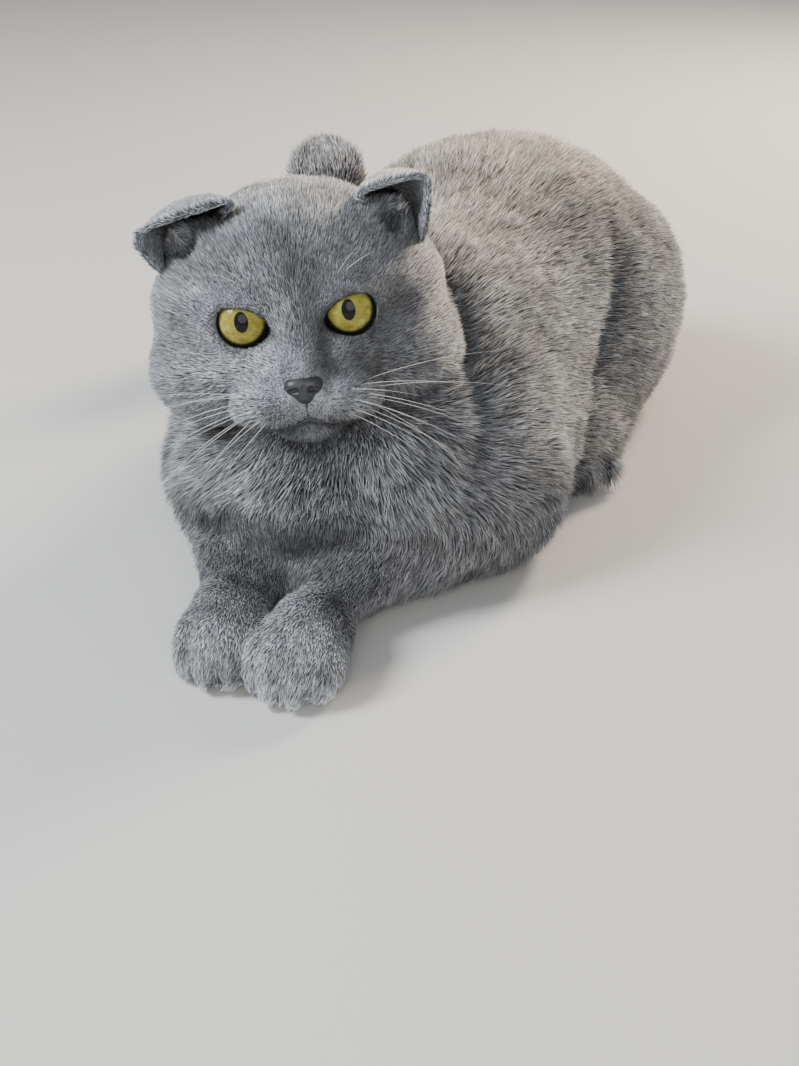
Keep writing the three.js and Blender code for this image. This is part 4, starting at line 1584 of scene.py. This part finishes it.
def area_light(name, place, target, size, power, colour):
    data = bpy.data.lights.new(name, "AREA")
    data.shape = "DISK"
    data.size = size
    data.energy = power
    data.color = colour
    lamp = bpy.data.objects.new(name, data)
    bpy.context.scene.collection.objects.link(lamp)
    lamp.location = place
    lamp.rotation_euler = (Vector(target) - Vector(place)).to_track_quat("-Z", "Y").to_euler()


def floor_mesh(half):
    mesh = bpy.data.meshes.new("floor")
    corners = [(-half, -half, 0), (half, -half, 0), (half, half, 0), (-half, half, 0)]
    mesh.from_pydata(corners, [], [(0, 1, 2, 3)])
    mesh.materials.append(floor_finish())
    return mesh


def hang_lights(stage):
    target = (0, -0.05, 0.08)
    area_light("key", (-0.85, -0.85, 1.15), target, 0.6, stage.key_power, (0.93, 0.97, 1.0))
    area_light("fill", (0.6, -1.25, 0.7), target, 1.0, stage.key_power * 0.3, (1.0, 0.98, 0.95))
    area_light("rim", (0.30, 1.1, 0.75), target, 0.35, stage.rim_power, (1.0, 0.84, 0.66))


def set_world(scene):
    world = bpy.data.worlds.new("studio")
    scene.world = world
    world.use_nodes = True
    background = world.node_tree.nodes["Background"]
    background.inputs["Color"].default_value = (0.93, 0.95, 1.0, 1)
    background.inputs["Strength"].default_value = 0.30


def set_camera(scene):
    data = bpy.data.cameras.new("camera")
    data.sensor_width = SENSOR
    data.lens = SENSOR * FOCAL_PIXELS / PICTURE_HIGH
    camera = bpy.data.objects.new("camera", data)
    scene.collection.objects.link(camera)
    camera.location = CAMERA_PLACE
    camera.rotation_euler = (math.radians(90 - CAMERA_DIP), 0, math.radians(CAMERA_TURN))
    scene.camera = camera


class OBJECT_OT_cat_stage(bpy.types.Operator):
    """Lay the pale floor, hang the soft lights and set the camera"""

    bl_idname = "object.cat_stage"
    bl_label = "Stage"

    def execute(self, context):
        stage = context.scene.cat_stage
        link("floor", floor_mesh(stage.floor_size / 2))
        hang_lights(stage)
        set_world(context.scene)
        set_camera(context.scene)
        return {"FINISHED"}


STEPS = (
    OBJECT_OT_cat_stage,
    OBJECT_OT_cat_skin,
    OBJECT_OT_cat_coat,
    OBJECT_OT_cat_eyes,
    OBJECT_OT_cat_nose,
    OBJECT_OT_cat_whiskers,
)


class VIEW3D_PT_cat(bpy.types.Panel):
    bl_label = "Scottish Fold Cat"
    bl_idname = "VIEW3D_PT_cat"
    bl_space_type = "VIEW_3D"
    bl_region_type = "UI"
    bl_category = "Cat"

    def draw(self, context):
        for step in STEPS:
            self.layout.operator(step.bl_idname)
        for group in GROUPS:
            box = self.layout.box()
            settings = getattr(context.scene, group)
            for name in settings.__annotations__:
                box.prop(settings, name)


GROUPS = {
    "cat_skin": CatSkinSettings,
    "cat_coat": CatCoatSettings,
    "cat_colours": CatColourSettings,
    "cat_stage": CatStageSettings,
}


def register():
    for cls in (*GROUPS.values(), *STEPS, VIEW3D_PT_cat):
        bpy.utils.register_class(cls)
    for name, group in GROUPS.items():
        setattr(bpy.types.Scene, name, PointerProperty(type=group))


def unregister():
    for name in GROUPS:
        delattr(bpy.types.Scene, name)
    for cls in (VIEW3D_PT_cat, *reversed(STEPS), *GROUPS.values()):
        bpy.utils.unregister_class(cls)


def main():
    register()
    for step in STEPS:
        group, name = step.bl_idname.split(".")
        getattr(getattr(bpy.ops, group), name)()


if __name__ == "__main__":
    main()
